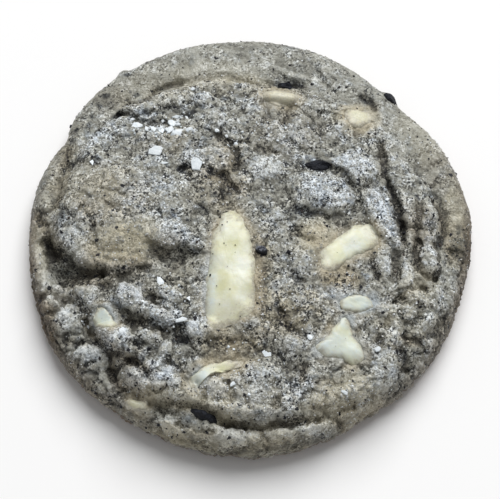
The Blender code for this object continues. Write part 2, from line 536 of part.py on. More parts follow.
def set_in_piece(name, loop, proud, depth, material, follow=1.0, roughness=0.0, seed=0):
    """A piece set in the dough, and the cutter of the pocket that holds it."""
    draw = np.random.default_rng(seed)
    centre = loop.mean(axis=0)
    ground = float(top_height(*centre))

    def level(share, lift, grow=0.0, uneven=0.0):
        plan = centre + (loop - centre) * share
        height = ground + follow * (top_height(*plan.T) - ground)
        height = height + lift + uneven * draw.uniform(-1.0, 1.0, len(plan))
        return np.column_stack((plan + outward(loop) * grow, height))

    levels = [level(share, proud * (1.0 - share ** 2), 0.0, roughness) for share in (0.4, 0.75)]
    levels.append(level(1.0, 0.0))
    levels.append(level(0.97, -0.35 * depth))
    levels.append(level(0.7, -depth))
    piece = stacked_solid(name, levels, (*centre, ground + proud), (*centre, ground - depth), material)

    lid = level(1.0, 0.0, GAP)
    lid[:, 2] = top_height(*lid[:, :2].T).max() + depth
    pocket = [lid, level(1.0, 0.0, GAP), level(0.97, -0.35 * depth, GAP), level(0.7, -depth - GAP, GAP)]
    lid_middle = (*centre, lid[0, 2])
    cutter = stacked_solid(name + "_pocket", pocket, lid_middle, (*centre, ground - depth - GAP))
    return piece, cutter


def shard_outline(row):
    """Angular outline of a dark cookie piece."""
    x, y, half_length, half_width, turn, _, _, seed = row
    draw = np.random.default_rng(seed)
    corners = 7
    angle = np.linspace(0.0, 2.0 * np.pi, corners, endpoint=False)
    reach = draw.uniform(0.85, 1.12, corners)
    along = half_length * reach * np.cos(angle)
    across = half_width * reach * np.sin(angle)
    cosine = math.cos(math.radians(turn))
    sine = math.sin(math.radians(turn))
    return np.column_stack((x + along * cosine - across * sine, y + along * sine + across * cosine))


def salt_flake(name, row):
    """A flat crystal, half sunk in the dough, narrower at its top."""
    x, y, length, width, turn = row
    cosine = math.cos(math.radians(turn))
    sine = math.sin(math.radians(turn))
    levels = []
    for share, lift in ((FLAKE_TOP_SHARE, FLAKE_THICKNESS - FLAKE_SUNK), (1.0, -FLAKE_SUNK)):
        corners = []
        for side_x, side_y in ((-1, -1), (1, -1), (1, 1), (-1, 1)):
            along = 0.5 * share * length * side_x
            across = 0.5 * share * width * side_y
            corners.append((x + along * cosine - across * sine, y + along * sine + across * cosine))
        plan = np.array(corners)
        levels.append(np.column_stack((plan, np.full(4, float(top_height(x, y)) + lift))))
    middle = levels[0].mean(axis=0)
    middle[2] += 0.25 * FLAKE_THICKNESS
    return stacked_solid(name, levels, middle, levels[1].mean(axis=0))


def combine(body, operation, tools):
    """Cut the tools from the body or fuse them to it, then remove them."""
    group = bpy.data.collections.new(operation.lower())
    bpy.context.scene.collection.children.link(group)
    for tool in tools:
        bpy.context.scene.collection.objects.unlink(tool)
        group.objects.link(tool)
    modifier = body.modifiers.new(operation.lower(), "BOOLEAN")
    modifier.operation = operation
    modifier.operand_type = "COLLECTION"
    modifier.collection = group
    modifier.solver = "EXACT"
    bpy.context.view_layer.update()
    evaluated = body.evaluated_get(bpy.context.evaluated_depsgraph_get())
    result = bpy.data.meshes.new_from_object(evaluated)
    body.modifiers.remove(modifier)
    body.data = result
    for tool in tools:
        bpy.data.objects.remove(tool, do_unlink=True)
    bpy.data.collections.remove(group)


def build():
    for item in list(bpy.data.objects):
        bpy.data.objects.remove(item, do_unlink=True)
    dough = dough_body(new_material("dough", (0.24, 0.235, 0.21), 0.85))
    chocolate = new_material("white_chocolate", (0.80, 0.79, 0.60), 0.45)
    cookie = new_material("dark_cookie", (0.02, 0.02, 0.025), 0.6)
    pockets = []
    for number, (proud, depth, sides, outline) in enumerate(CHOCOLATE, start=1):
        loop = smooth_loop(outline, sides)
        pockets.append(set_in_piece(f"white_chocolate_{number}", loop, proud, depth, chocolate)[1])
    for number, row in enumerate(COOKIE_PIECES, start=1):
        loop = smooth_loop(shard_outline(row), SHARD_SIDES)
        name = f"cookie_piece_{number}"
        _, pocket = set_in_piece(name, loop, row[5], row[6], cookie, COOKIE_FOLLOW, 0.15, row[7])
        pockets.append(pocket)
    combine(dough, "DIFFERENCE", pockets)
    flakes = [salt_flake(f"flake_{number}", row) for number, row in enumerate(SALT_FLAKES, start=1)]
    combine(dough, "UNION", flakes)


build()
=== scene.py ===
"""Looks of a cookies and cream cookie: crusted dough, white chocolate, dark pieces, salt and crumbs.

Lengths are in millimetres, turned into metres where a mesh is made, and angles are in degrees. +Z is up,
+Y is the far side of the photograph and +X its right.
"""
import functools
import itertools
import math

import bpy
import numpy as np
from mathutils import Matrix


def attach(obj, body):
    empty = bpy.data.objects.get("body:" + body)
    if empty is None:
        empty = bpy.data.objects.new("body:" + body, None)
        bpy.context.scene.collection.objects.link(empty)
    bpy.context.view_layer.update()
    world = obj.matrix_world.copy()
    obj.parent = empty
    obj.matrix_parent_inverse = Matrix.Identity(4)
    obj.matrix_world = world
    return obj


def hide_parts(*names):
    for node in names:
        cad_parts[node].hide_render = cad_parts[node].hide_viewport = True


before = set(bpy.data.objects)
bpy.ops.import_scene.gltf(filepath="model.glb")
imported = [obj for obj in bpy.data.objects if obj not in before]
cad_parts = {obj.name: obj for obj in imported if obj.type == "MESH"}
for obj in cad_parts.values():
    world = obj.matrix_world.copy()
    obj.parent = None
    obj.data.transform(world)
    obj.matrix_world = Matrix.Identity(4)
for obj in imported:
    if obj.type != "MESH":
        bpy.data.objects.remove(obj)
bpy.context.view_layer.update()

MM = 0.001

# ---------------------------------------------------------------- body of the dough

# Rows of 24 numbers run round the cookie, one every 15 degrees from +X. Radius of the widest line, and
# of the tall middle:
RIM_RADII = (45.1, 45.1, 44.4, 43.0, 44.2, 45.1, 45.3, 45.9, 46.1, 46.2, 44.7, 45.3,
             45.0, 45.1, 45.7, 45.4, 45.1, 45.4, 45.6, 45.0, 44.1, 44.4, 44.5, 44.4)
MIDDLE_RADII = (38.3, 37.8, 34.5, 36.5, 34.5, 34.0, 33.8, 35.0, 36.5, 39.0, 39.0, 39.5,
                40.0, 38.5, 37.8, 38.6, 41.5, 40.5, 41.0, 41.8, 42.2, 42.3, 42.0, 40.5)
# Bumps and dents of the widest line: angle, half width in degrees, height.
RIM_BUMPS = ((125.5, 1.8, 0.9), (143.0, 5.0, 0.4), (150.5, 3.0, -0.7), (88.0, 5.0, 0.3),
             (6.0, 4.0, 0.3), (47.5, 2.6, 1.3))
BULGE_HEIGHT = 3.5   # height of the widest line
TUCK = 2.6           # how far the underside lies inside it
SKIRT_RISE = 4.1
SKIRT_ROUNDS = (3.0, 3.2, 3.6, 4.2, 5.0, 5.2, 5.0, 5.0, 5.0, 4.6, 4.2, 3.8,
                3.2, 2.8, 2.6, 2.6, 2.6, 2.6, 2.6, 2.6, 2.6, 2.6, 2.6, 2.8)
SKIRT_SLOPE = 0.06
RELIEF_MARGIN = 1.8
MIDDLE_STEPS = (1.8, 1.6, 1.5, 1.4, 1.4, 1.6, 1.8, 1.8, 1.8, 2.0, 2.2, 2.6,
                2.6, 2.8, 2.8, 3.0, 3.0, 3.2, 3.2, 3.2, 3.0, 2.8, 2.4, 2.0)
MIDDLE_STEP_WIDTH = 2.6
DOME_RISE = 3.6
DOME_POWER = 2.8

# Broad lumps (positive) and hollows (negative) of the top, which add up:
# x, y, half length, half width, turn in degrees, height, softness (1 is a dome, more is a softer edge).
LUMPS = (
    (-7.5, -34.5, 16.5, 5, 0, 1, 0.5), (-2, -41.5, 16, 3.5, 0, 1.8, 0.6), (-26, 3.5, 13.5, 11.5, 0, 2.2, 1),
    (-33, 17, 4, 2.5, 10, 0.9, 1), (-18.5, 28, 7.5, 2, 14, 1.3, 1), (-9.5, 28.5, 2, 2, -10, 0.9, 1),
    (-5.5, 23, 4, 2, -15, 1.3, 0.9), (-8, 14, 4.5, 4.5, 0, 1.4, 0.9), (-9.5, 16.5, 2, 1.5, -10, -0.7, 1),
    (8.5, 36, 4.5, 1, -20, 0.8, 1.2), (7, 28.5, 5.5, 1.5, -4, 1.3, 0.9), (15.5, 27.5, 4, 1.5, -28, 1, 0.9),
    (0, 22.5, 2, 2.5, 20, 0.7, 1), (5, 20.5, 2.5, 2.5, 30, 0.8, 1), (10, 20.5, 2.5, 2.5, -40, 0.9, 1),
    (3, 11.5, 3.5, 3, 0, 1.1, 1), (0, 8.5, 2.5, 1.5, -10, 0.6, 1), (17.5, 20.5, 3.5, 2, 40, 0.8, 1),
    (30.5, 15.5, 3, 3, 0, 0.8, 1.2), (33, 11, 1.5, 1.5, 0, 0.6, 1), (37, -13.5, 1.5, 1.5, 0, 0.6, 0.9),
    (37.5, -16, 2, 1.5, 0, 0.6, 0.9), (10.5, -21.5, 2.5, 2, 0, 0.6, 1), (9.5, -34.5, 1.5, 2.5, 0, 0.6, 0.9),
    (7.5, -37.5, 2, 1.5, 0, 0.6, 0.9), (-41.5, -12.5, 1, 1, 0, 0.7, 0.8), (-29, -14, 1.5, 2.5, 0, -1.4, 1),
    (-13.5, -24, 1.5, 2, 20, -1.8, 1), (-42.5, -3.5, 1.5, 7.5, -12, 1, 0.9),
    (-41.5, 7, 1.5, 2.5, -10, 0.7, 0.9), (-27.5, 26, 1, 1, 0, -1.2, 1), (-36, -9, 4.5, 3, -15, -2.2, 1.2),
    (-27, -12.5, 5.5, 2, 0, -1.2, 1.2), (-14, -8.5, 5, 2, 0, -0.8, 1.2),
)
LUMP_SPREAD = 1.15

# Knobs of dough that touch in creases, the highest one counting: the same numbers as the lumps.
KNOBS = (
    (21.5, 12.5, 4.5, 3, -8, 1.8, 0.8), (14.5, 6.5, 5.5, 3.5, -15, 1.9, 0.8),
    (26, 1.5, 6, 2, -62, 2.1, 0.7), (32, -2.5, 2, 2, 0, 1, 0.5), (36.5, 1.5, 2, 4.5, -8, 1.6, 0.5),
    (26.5, -8.5, 1.5, 3, 0, 1.3, 0.65), (31, -11.5, 1.5, 3.5, 0, 1.4, 0.65),
    (33, -15, 2, 1.5, 0, 1.2, 0.65), (31, -18.5, 1.5, 1.5, 0, 1.3, 0.65), (35.5, -19.5, 2, 2, 0, 1.2, 0.65),
    (27, -18, 2, 1.5, 0, 1.2, 0.65), (28.5, -21.5, 1.5, 1.5, 0, 1.2, 0.65),
    (27.5, -23.5, 2, 2, 0, 1.3, 0.65), (25.5, -27, 1.5, 1.5, 0, 1.2, 0.65),
    (35.5, -24, 1, 1.5, 0, 1.2, 0.65), (27, -31, 3, 4.5, -15, 1.6, 0.65), (23, -33, 2, 1.5, 10, 1.1, 0.65),
    (7.5, -26, 2, 2.5, 0, 1.6, 0.65), (2.5, -31.5, 3, 2.5, 0, 1.3, 0.65),
    (12.5, -32.5, 2.5, 2.5, 0, 1.1, 0.65), (15.5, -36, 3, 2, -20, 1.4, 0.65),
    (19.5, -35, 2.5, 1.5, -10, 1.2, 0.65), (18.5, -38.5, 2.5, 1.5, 5, 1.4, 0.65),
    (12, -37.5, 2, 1.5, 0, 1.1, 0.65), (4.5, -37.5, 4.5, 3, 0, 1.2, 0.6), (12, -41, 4, 1.5, 4, 1.8, 0.65),
    (23, -37, 2, 1, 25, 1.3, 0.65), (5.5, -42.5, 3, 1.5, 5, 1.3, 0.5), (-2.5, -43, 3.5, 2, 0, 1.4, 0.5),
    (-7, -42, 2.5, 1.5, 0, 1.2, 0.5), (1, -43.5, 3, 2, 0, 1.3, 0.5), (-10, -41, 3.5, 2, -12, 1.3, 0.5),
    (-16, -40.5, 2.5, 2, -20, 1.3, 0.65), (-24, -36.5, 5, 1.5, -20, 1.4, 0.65),
    (-6.5, -35.5, 4, 3.5, 0, 1.4, 0.7), (-0.5, -35.5, 4.5, 4, 0, 1.4, 0.7),
    (-13, -36.5, 3.5, 2.5, -10, 1.2, 0.6), (-23, -32.5, 3, 3, -20, 2, 0.6), (-16, -33, 3, 2.5, -10, 2, 0.6),
    (-20, -34, 4, 2.5, -15, 1.4, 0.6), (-28, -31.5, 1.5, 3, 15, 1.3, 0.65),
    (-31, -26, 4, 2.5, -38, 2, 0.65), (-33, -23, 2.5, 1.5, -5, 1.6, 0.65),
    (-27, -24.5, 4, 3, -25, 2.5, 0.55), (-35, -18.5, 3.5, 3, -15, 2.3, 0.65),
    (-39.5, -15.5, 2, 2, 0, 1.6, 0.65), (-32, -15, 2.5, 2, -10, 1.6, 0.65),
    (-23, -16.5, 4, 2, -48, 2.3, 0.65), (-17.5, -20.5, 3, 1.5, -40, 2, 0.65),
    (-16, -16.5, 2, 2, 0, 1.3, 0.65), (-21.5, -27, 2, 1.5, -10, 1.4, 0.65),
    (-18.5, -29.5, 2, 1.5, 0, 1.2, 0.65), (-20, -24.5, 2.5, 1.5, -10, 1.4, 0.65),
    (-16, -27.5, 1.5, 2, 0, 1.2, 0.65), (-10, -23, 3, 2, 10, 1.9, 0.65), (-15.5, -4, 3.5, 3, 0, 2, 0.8),
    (32, 3.5, 2, 3.5, 0, 1, 0.5), (35, -6.5, 2, 3.5, 0, 1.4, 0.5),
)
KNOB_SPREAD = 1.36

# Folds, where the crust drops to the right of a path and climbs back: drop, width of the climb, path.
FOLDS = (
    (1, 3.6, ((-28.5, 28.5), (-27, 27), (-25, 26.5), (-23, 25), (-21, 24), (-19, 23.5), (-17, 23.5),
        (-14.5, 24))),
    (1, 2, ((-14.5, 25), (-12.5, 25.5), (-11.5, 27), (-9.5, 26.5), (-8.5, 27.5))),
    (1.1, 2.2, ((-1.5, 23.5), (-2.5, 26), (-3.5, 27), (-5.5, 27.5), (-7, 28.5), (-8, 30), (-9, 32))),
    (1.1, 2.6, ((-12, 22.5), (-9.5, 21.5), (-7.5, 21), (-5.5, 19.5))),
    (1, 2.6, ((-3.5, 9), (-4, 11.5), (-4, 14), (-5, 17.5), (-6.5, 19))),
    (0.9, 2.4, ((-21.5, 32), (-19.5, 33), (-17.5, 34), (-15.5, 35), (-13, 35.5))),
    (0.6, 1.8, ((-11.5, 36), (-9, 36.5), (-6, 36.5), (-2.5, 35.5))),
    (0.6, 1.6, ((-8, 32), (-5, 31), (-1.5, 30), (1.5, 29.5))),
    (1, 2.2, ((-1.5, 35.5), (1.5, 34.5), (3.5, 34.5), (6, 34), (8.5, 34.5), (10.5, 34.5))),
    (0.8, 2, ((14, 39), (15, 36.5), (16.5, 34.5), (17.5, 33), (18.5, 31.5))),
    (0.6, 2, ((17, 28.5), (18.5, 27.5), (20.5, 27))),
    (0.6, 2.2, ((21, 29), (23, 28), (25, 26), (26.5, 24), (28, 22))),
    (1, 2.2, ((7, 19.5), (8.5, 18.5), (10, 17), (12, 16.5), (14, 17))),
    (1.4, 2.8, ((13.5, 14), (16, 13.5), (17.5, 12.5), (19, 11.5), (20.5, 10), (22, 8.5))),
    (1.1, 2.6, ((29, -4.5), (27.5, -2.5), (26.5, -1), (25, 1.5), (24, 3), (23, 5), (22, 7.5))),
    (0.7, 2.6, ((8, 5.5), (9.5, 3.5), (12, 2.5), (15, 2), (17.5, 2.5), (20, 4), (21, 6))),
    (1.3, 1.8, ((30, -4.5), (29.5, -2), (29.5, 0.5), (29.5, 3.5), (28.5, 6.5), (27.5, 9), (26.5, 10.5))),
    (0.7, 2.6, ((39.5, -2.5), (38.5, 0), (39, 2.5), (38.5, 5), (38, 7), (36, 8.5))),
    (0.8, 1.8, ((30.5, -3.5), (32, -4), (33.5, -3.5), (35, -2.5), (36.5, -3))),
    (3.6, 5.5, ((-41, 0.5), (-39.5, -2.5), (-37.5, -4), (-35.5, -6), (-33, -7.5), (-30.5, -8), (-29, -8.5),
        (-27, -10))),
    (1.4, 3.6, ((-29.5, -8), (-27.5, -9.5), (-25, -10), (-23, -9.5), (-21, -9), (-19.5, -8.5))),
    (1.5, 3.4, ((-19, -4), (-18.5, -5), (-17, -6), (-15, -6), (-13, -5.5), (-11, -6), (-9.5, -5.5))),
    (0.7, 3, ((24, -35.5), (26.5, -33.5), (28, -32), (29, -30.5), (29.5, -28.5), (29, -26),
        (27.5, -24.5))),
    (1.3, 2.4, ((-31, -21), (-30, -23), (-28, -25), (-26, -26), (-24.5, -25.5), (-23.5, -24.5))),
    (0.5, 2, ((-19.5, -35.5), (-17.5, -36.5), (-15, -37), (-13, -37), (-10.5, -38), (-8.5, -38.5),
        (-7, -39), (-4.5, -40), (-2, -40), (0, -40.5))),
    (1.1, 2.4, ((-26, -31), (-25.5, -32.5), (-24, -34), (-22, -34.5), (-19.5, -35))),
    (0.5, 2.2, ((-2.5, -38.5), (-1, -39.5), (0.5, -40), (2.5, -40.5), (5, -40), (7.5, -39), (10, -39.5),
        (13, -40))),
    (0.7, 2.4, ((-9, -24.5), (-7, -23.5), (-4.5, -24), (-2, -23.5))),
    (0.8, 1.8, ((-3.5, -27.5), (-1.5, -27), (0, -26.5))),
    (1, 1.6, ((-37.5, -21), (-36, -21), (-34, -21), (-32.5, -19.5))),
    (1, 2, ((-19.5, -19.5), (-18.5, -21), (-17, -21.5), (-15.5, -22))),
    (1, 2.2, ((-27, -14.5), (-26, -16.5), (-24, -18), (-22, -19.5), (-20.5, -19.5))),
)
FOLD_EDGE = 1.0
LONGEST_FADE = 2.0

# Creases between rounded shoulders: depth, width of a shoulder, path.
CREASES = (
    (0.7, 1.4, ((-26.5, 28), (-25.5, 29.5), (-23, 28), (-21.5, 28.5), (-19.5, 32.5), (-17, 33.5),
        (-15, 34.5))),
    (0.6, 1.4, ((-15, 34), (-12, 34.5), (-9, 35), (-6, 35), (-2.5, 34.5), (1, 33.5), (3.5, 32.5), (6.5, 32),
        (9, 33), (10.5, 33))),
    (1, 1.4, ((-13.5, 12), (-11, 11.5), (-8.5, 11), (-7.5, 9.5), (-5.5, 9.5), (-4, 7.5), (-2.5, 6.5))),
    (0.7, 1.2, ((-5.5, 9.5), (-5, 7), (-5.5, 5))),
    (0.9, 1.6, ((-6.5, 19.5), (-5, 16.5), (-3, 15.5), (-3.5, 12.5))),
    (0.7, 1.2, ((-5, 18.5), (-3, 17.5), (-1, 18))),
    (0.5, 1.2, ((-0.5, 20.5), (1, 21))),
    (0.7, 1.4, ((8, 26.5), (7.5, 24.5), (7, 23))),
    (0.5, 1.2, ((2.5, 27.5), (3, 25.5), (3.5, 23.5))),
    (0.6, 1.2, ((1.5, 16.5), (4, 16), (5.5, 15.5))),
    (1.1, 1, ((27, 19), (27, 16.5), (27, 14), (27, 11.5), (28, 9.5), (29, 6.5), (30, 3), (30, -1),
        (30.5, -4))),
    (0.8, 1.6, ((-37.5, 19), (-38, 16), (-38.5, 12.5), (-38.5, 10), (-39, 6.5))),
    (1.2, 1.8, ((-43, 4), (-42, 2), (-41, -0.5), (-39.5, -2.5), (-38.5, -4))),
    (0.7, 1.6, ((-34, 4), (-32, 1.5), (-31, -1), (-31, -3), (-31.5, -5))),
    (0.6, 1, ((-29, 4.5), (-28, 3.5), (-27, 2.5))),
    (0.6, 1.2, ((-36, 15.5), (-34, 14.5))),
    (0.6, 1.2, ((-32, 14), (-30, 13.5))),
    (1.4, 0.9, ((33, -3.5), (33, -6.5), (33.5, -9), (35, -10.5), (37, -10))),
    (0.8, 0.7, ((37, -3.5), (37.5, -6), (37.5, -8.5), (37, -10))),
    (0.7, 0.7, ((34, 6.5), (34, 2.5), (33.5, -1), (33.5, -3.5))),
    (0.8, 0.7, ((30.5, -1), (32, -0.5), (34, -0.5))),
    (1, 0.9, ((37, 7), (38.5, 5), (39, 1.5), (39, -2.5))),
    (0.8, 0.9, ((28.5, -16), (30.5, -14.5), (32, -13.5), (34.5, -12.5))),
    (0.7, 1.2, ((24, -7), (24.5, -9.5), (25.5, -11.5))),
    (0.7, 1.2, ((29, -6.5), (29, -9), (29, -11.5))),
    (1.2, 1, ((30, -23.5), (31.5, -24), (33, -24))),
    (0.9, 1, ((38.5, -18), (37.5, -19.5), (36.5, -21), (35, -23))),
    (0.7, 0.9, ((27.5, -16.5), (29, -16), (30.5, -15.5))),
    (0.6, 1, ((26.5, -21.5), (27.5, -20.5))),
    (0.7, 1, ((25, -23.5), (25.5, -25.5))),
    (0.8, 0.9, ((34, -12), (34.5, -12.5))),
    (1.4, 1.2, ((29, -26), (29.5, -27))),
    (1.4, 1, ((29.5, -29), (30.5, -28.5))),
    (0.8, 1.2, ((6, -19), (6.5, -21), (7, -22), (8.5, -23.5), (9.5, -24.5))),
    (0.6, 1.2, ((8, -12), (9, -12.5), (10, -13))),
    (0.5, 1, ((-2.5, -31.5), (-1.5, -32.5), (-0.5, -34))),
    (0.8, 1, ((5, -33.5), (6, -34.5))),
    (0.7, 1.2, ((8.5, -33.5), (8.5, -35), (8, -36.5))),
    (0.9, 1, ((5.5, -36.5), (5, -38))),
    (1.2, 0.9, ((10.5, -30), (10, -33))),
    (0.6, 1, ((8.5, -30.5), (9.5, -30))),
    (0.7, 1.2, ((15, -33.5), (15.5, -35), (17, -36.5))),
    (1, 0.9, ((12, -38), (13.5, -38), (15, -37.5))),
    (1.4, 1, ((17.5, -38), (19, -37.5), (20, -37))),
    (1.4, 1.1, ((17, -39), (18, -40), (18.5, -40.5))),
    (0.6, 1, ((-1, -36.5), (-0.5, -38), (0, -38.5))),
    (0.7, 1, ((13, -33.5), (15, -32.5))),
    (1.2, 0.7, ((-1, -41), (2.5, -41.5), (6, -41), (9.5, -40), (13.5, -39.5))),
    (1.2, 0.8, ((2, -41.5), (2.5, -43), (3.5, -44))),
    (1, 0.9, ((-14, -40.5), (-12.5, -41), (-11.5, -41.5), (-10.5, -42.5), (-8.5, -42.5), (-7.5, -42.5))),
    (1, 1.2, ((-38.5, -13.5), (-37, -14.5), (-35, -15), (-33.5, -16.5), (-32, -18))),
    (1, 1, ((-43, -13), (-41.5, -13.5), (-40, -12))),
    (0.9, 1, ((-41, -16.5), (-39.5, -17), (-38.5, -16))),
    (1.3, 1, ((-32.5, -19), (-31, -21), (-30, -23.5), (-28, -25), (-26, -26.5), (-24, -28), (-22, -29))),
    (0.9, 1.2, ((-22, -29), (-20, -30.5), (-19, -32))),
    (1.2, 0.9, ((-27, -26), (-27, -27.5), (-27, -30), (-26, -31.5), (-24.5, -33.5), (-22.5, -34.5),
        (-20.5, -35.5), (-19, -35.5))),
    (1.8, 0.8, ((-19.5, -36.5), (-15.5, -37), (-10.5, -38), (-8, -39), (-5, -40), (-1, -41))),
    (1.2, 0.8, ((-19.5, -34.5), (-18, -35), (-17, -35), (-16.5, -34.5))),
    (0.9, 1, ((-23, -25), (-21.5, -26.5))),
    (0.8, 1.4, ((-24, -20), (-22.5, -21.5), (-21, -20.5))),
    (0.9, 1.4, ((-18.5, -23), (-16.5, -23), (-15, -22.5))),
    (0.9, 1.2, ((-19.5, -16.5), (-18, -18.5), (-16.5, -19.5))),
    (1, 1.2, ((-15.5, -29.5), (-14, -30.5), (-13, -32), (-12.5, -33.5))),
    (0.6, 1, ((-14, -8.5), (-15.5, -10.5), (-16, -13))),
    (0.9, 1, ((-36, -23), (-34, -24), (-32.5, -24))),
    (0.6, 1, ((-34, -27.5), (-32, -28.5), (-30.5, -28))),
    (0.8, 1.2, ((8, -2.5), (10, -3), (12, -4), (13, -4))),
    (0.6, 1, ((17.5, 0), (18, -1.5), (19, -0.5))),
    (0.5, 0.9, ((37.5, 15.5), (39, 16.5))),
    (0.5, 0.9, ((37.5, 10.5), (38, 12))),
    (0.5, 0.9, ((40, -3.5), (42, -4.5))),
    (0.9, 1.2, ((23.5, 31), (24.5, 30), (26, 28))),
    (0.6, 1, ((22, 20.5), (22.5, 22), (24.5, 22.5))),
    (0.7, 1, ((-4.5, -33.5), (-4, -35.5), (-3.5, -36.5))),
    (0.9, 1, ((-10, -33.5), (-9.5, -35), (-9, -36.5))),
)
CREASE_FLOOR = 0.2
CREASE_REACH = 1.6

# Unevenness of the top, and how its lines wander in plan: width of the waves, strength, seed.
UNEVENNESS = ((7.0, 0.30, 11), (3.4, 0.30, 12))
WANDER = ((4.5, 0.55, 13), (1.7, 0.25, 15))
NOISE_CELLS = 64

# ---------------------------------------------------------------- pieces set in the dough

# White chocolate chunks: height of the middle over the dough, how filmed with dough, outline in plan.
CHOCOLATE = (
    (0.5, 0, ((-3.6, 2), (-1.8, 0.9), (-0.6, -1.9), (0.2, -5), (1, -9.5), (1.2, -14.1), (0.8, -18.1),
        (-0.4, -20.4), (-4, -22.1), (-7.6, -23.1), (-8.5, -20.5), (-8.6, -16), (-8.4, -11), (-7.9, -6.5),
        (-6.9, -2.4), (-5.4, 1))),
    (0.4, 0.05, ((13.9, -8.8), (14.2, -6.4), (16.4, -4.1), (18.9, -2.1), (21.6, -0.4), (23.8, -0.1),
        (25.2, -1.8), (25.5, -4), (23.8, -5.9), (21, -7.1), (18.7, -8.6), (17.1, -10.3), (15, -11))),
    (0.4, 0.05, ((18, -20), (19.4, -20.5), (19.9, -22.2), (20.8, -24.8), (22.3, -26.8), (21.7, -28.7),
        (20, -29.4), (17.4, -28.5), (14.9, -28), (13, -26.9), (12.8, -25.7), (14.4, -24.5), (16.1, -22.7),
        (17.2, -21))),
    (0.3, 0.15, ((17.8, -17), (18.8, -15.9), (20.4, -15.6), (22.2, -15.5), (23.6, -16.1), (24.1, -17.3),
        (23.3, -18.2), (21.5, -18.9), (19.7, -18.9), (18.4, -18.3))),
    (0.2, 0.20, ((-30.2, -17.4), (-28.4, -17.5), (-26.8, -19.8), (-26.1, -21.6), (-27.9, -22.4),
        (-30.2, -21), (-30.8, -19))),
    (0.1, 0.70, ((-24, -35.7), (-21.8, -35.5), (-19.6, -36.4), (-20, -37.8), (-22.3, -37.6),
        (-24.1, -36.8))),
    (0.3, 0.25, ((-11.8, -33.4), (-10.4, -31.4), (-8.3, -29.9), (-5.4, -29.2), (-3, -28.9), (-1.4, -29.6),
        (-2.4, -30.9), (-5, -31.6), (-7.6, -32.2), (-9.2, -33.6), (-10.8, -34.8))),
    (0.1, 0.80, ((19.6, 26.6), (21.9, 27.5), (24.6, 27), (25.6, 25.4), (24.4, 23.6), (21.7, 22.3),
        (19.8, 23.6))),
    (0.1, 0.90, ((2.5, 29.6), (4.6, 31.2), (7.8, 30.5), (10.1, 29.2), (9.2, 27.3), (6.6, 26.8),
        (3.4, 27.4))),
)
CHOCOLATE_DEPTH = 1.6
CHUNK_POINTS = 96
CHUNK_RINGS = 18
CHUNK_RAGGED = 0.65
CHUNK_WAVES = 0.14
# Bluish parts of the chunks, and of the film and the dusty dark piece beside them: x, y, half length,
# half width, turn in degrees, strength.
COOLED = (
    (21.5, -16.8, 4.5, 2.5, 0, 1), (18.8, -21.2, 2, 1.6, 0, 0.9), (18, -26, 4.5, 3.2, 0, 0.7),
    (13.6, -26.6, 2.4, 1.6, 30, 0.8), (-28.8, -19.6, 2.6, 2.6, 0, 0.9), (-10.2, -32.8, 2.2, 1.8, 40, 1),
    (-8.2, -14, 1.4, 6.5, 0, 0.7), (20, -6.5, 4, 1.2, 30, 0.3), (2, -6.6, 0.9, 0.6, -20, 1),
)
# Tan parts of the chunks, filmed with dough, in the same numbers.
FILMED = (
    (-2.6, -30.2, 2.2, 1.4, 0, 0.9), (21.2, -21.6, 2, 1.6, 0, 0.8), (17, -10.6, 2.6, 1.4, 20, 0.8),
    (0.9, -17, 0.9, 4, 0, 0.4), (-4.5, -22.5, 4, 1, 0, 0.5), (24.8, -5.4, 1.4, 1.6, 0, 0.5),
)
# Dough thinly smeared with white chocolate, in the same numbers.
VEILED = (
    (19.4, -19.7, 2.4, 0.9, 0, 1), (24.2, -15.6, 1.4, 1, 30, 0.8), (13.6, -3.4, 1.8, 2.2, 0, 0.9),
    (14.2, -27.6, 1.6, 0.9, 30, 0.7), (21.8, 21, 2.4, 0.9, 0, 0.5), (4, 31.6, 2.6, 0.8, 0, 0.5),
    (-12, -35.2, 1.4, 1.2, 40, 0.8), (0.2, -29.4, 1.6, 1, 0, 0.6),
)
# Dark crumbs on the chunks: x, y, size.
CHOCOLATE_CRUMBS = (
    (-5.5, -1.8, 0.39), (-4.5, -1.2, 0.33), (-5.1, -5.8, 0.45), (-4.7, -6.2, 0.33), (-2.9, -6.2, 0.39),
    (-2.9, -7.7, 0.39), (-7.8, -12.2, 0.65), (-3.9, -15.3, 0.39), (-6.5, -14.5, 0.33), (-0.6, -2.5, 0.39),
    (-7.3, -8, 0.39), (-1.9, -20.6, 0.45), (-4.4, -10.6, 0.20), (-5.9, -18.2, 0.26), (20.6, -4.4, 0.20),
    (17.2, -7, 0.20), (18.6, -24.6, 0.20), (16.6, -26.2, 0.26), (-29, -20.2, 0.20), (-7, -30.8, 0.26),
)

# Dark cookie pieces: x, y, half length, half width, turn in degrees, proud height, seed.
COOKIE_PIECES = (
    (29.3, 31, 1.7, 1.2, -35, 0.6, 21), (13.6, 12.7, 2.7, 1.1, 4, 0.5, 22),
    (-9, -39.2, 2.9, 1, -26, 0.7, 23), (2.3, -6.9, 1.2, 0.8, -20, 0.8, 24),
    (7.6, 33.2, 1.9, 1, -10, 0.5, 25),
)
COOKIE_DEPTH = 1.5
SHARD_CORNERS = 7
SHARD_POINTS = 40
SHARD_RINGS = 9
SHARD_RAGGED = 0.4
SHARD_WAVES = 0.6
RAGGED_WIDTH = 2.4
EDGE_SINK = 0.35     # how far a piece's edge lies below the dough
POCKET_DEPTH = 1.3   # how far the dough sinks below a chunk

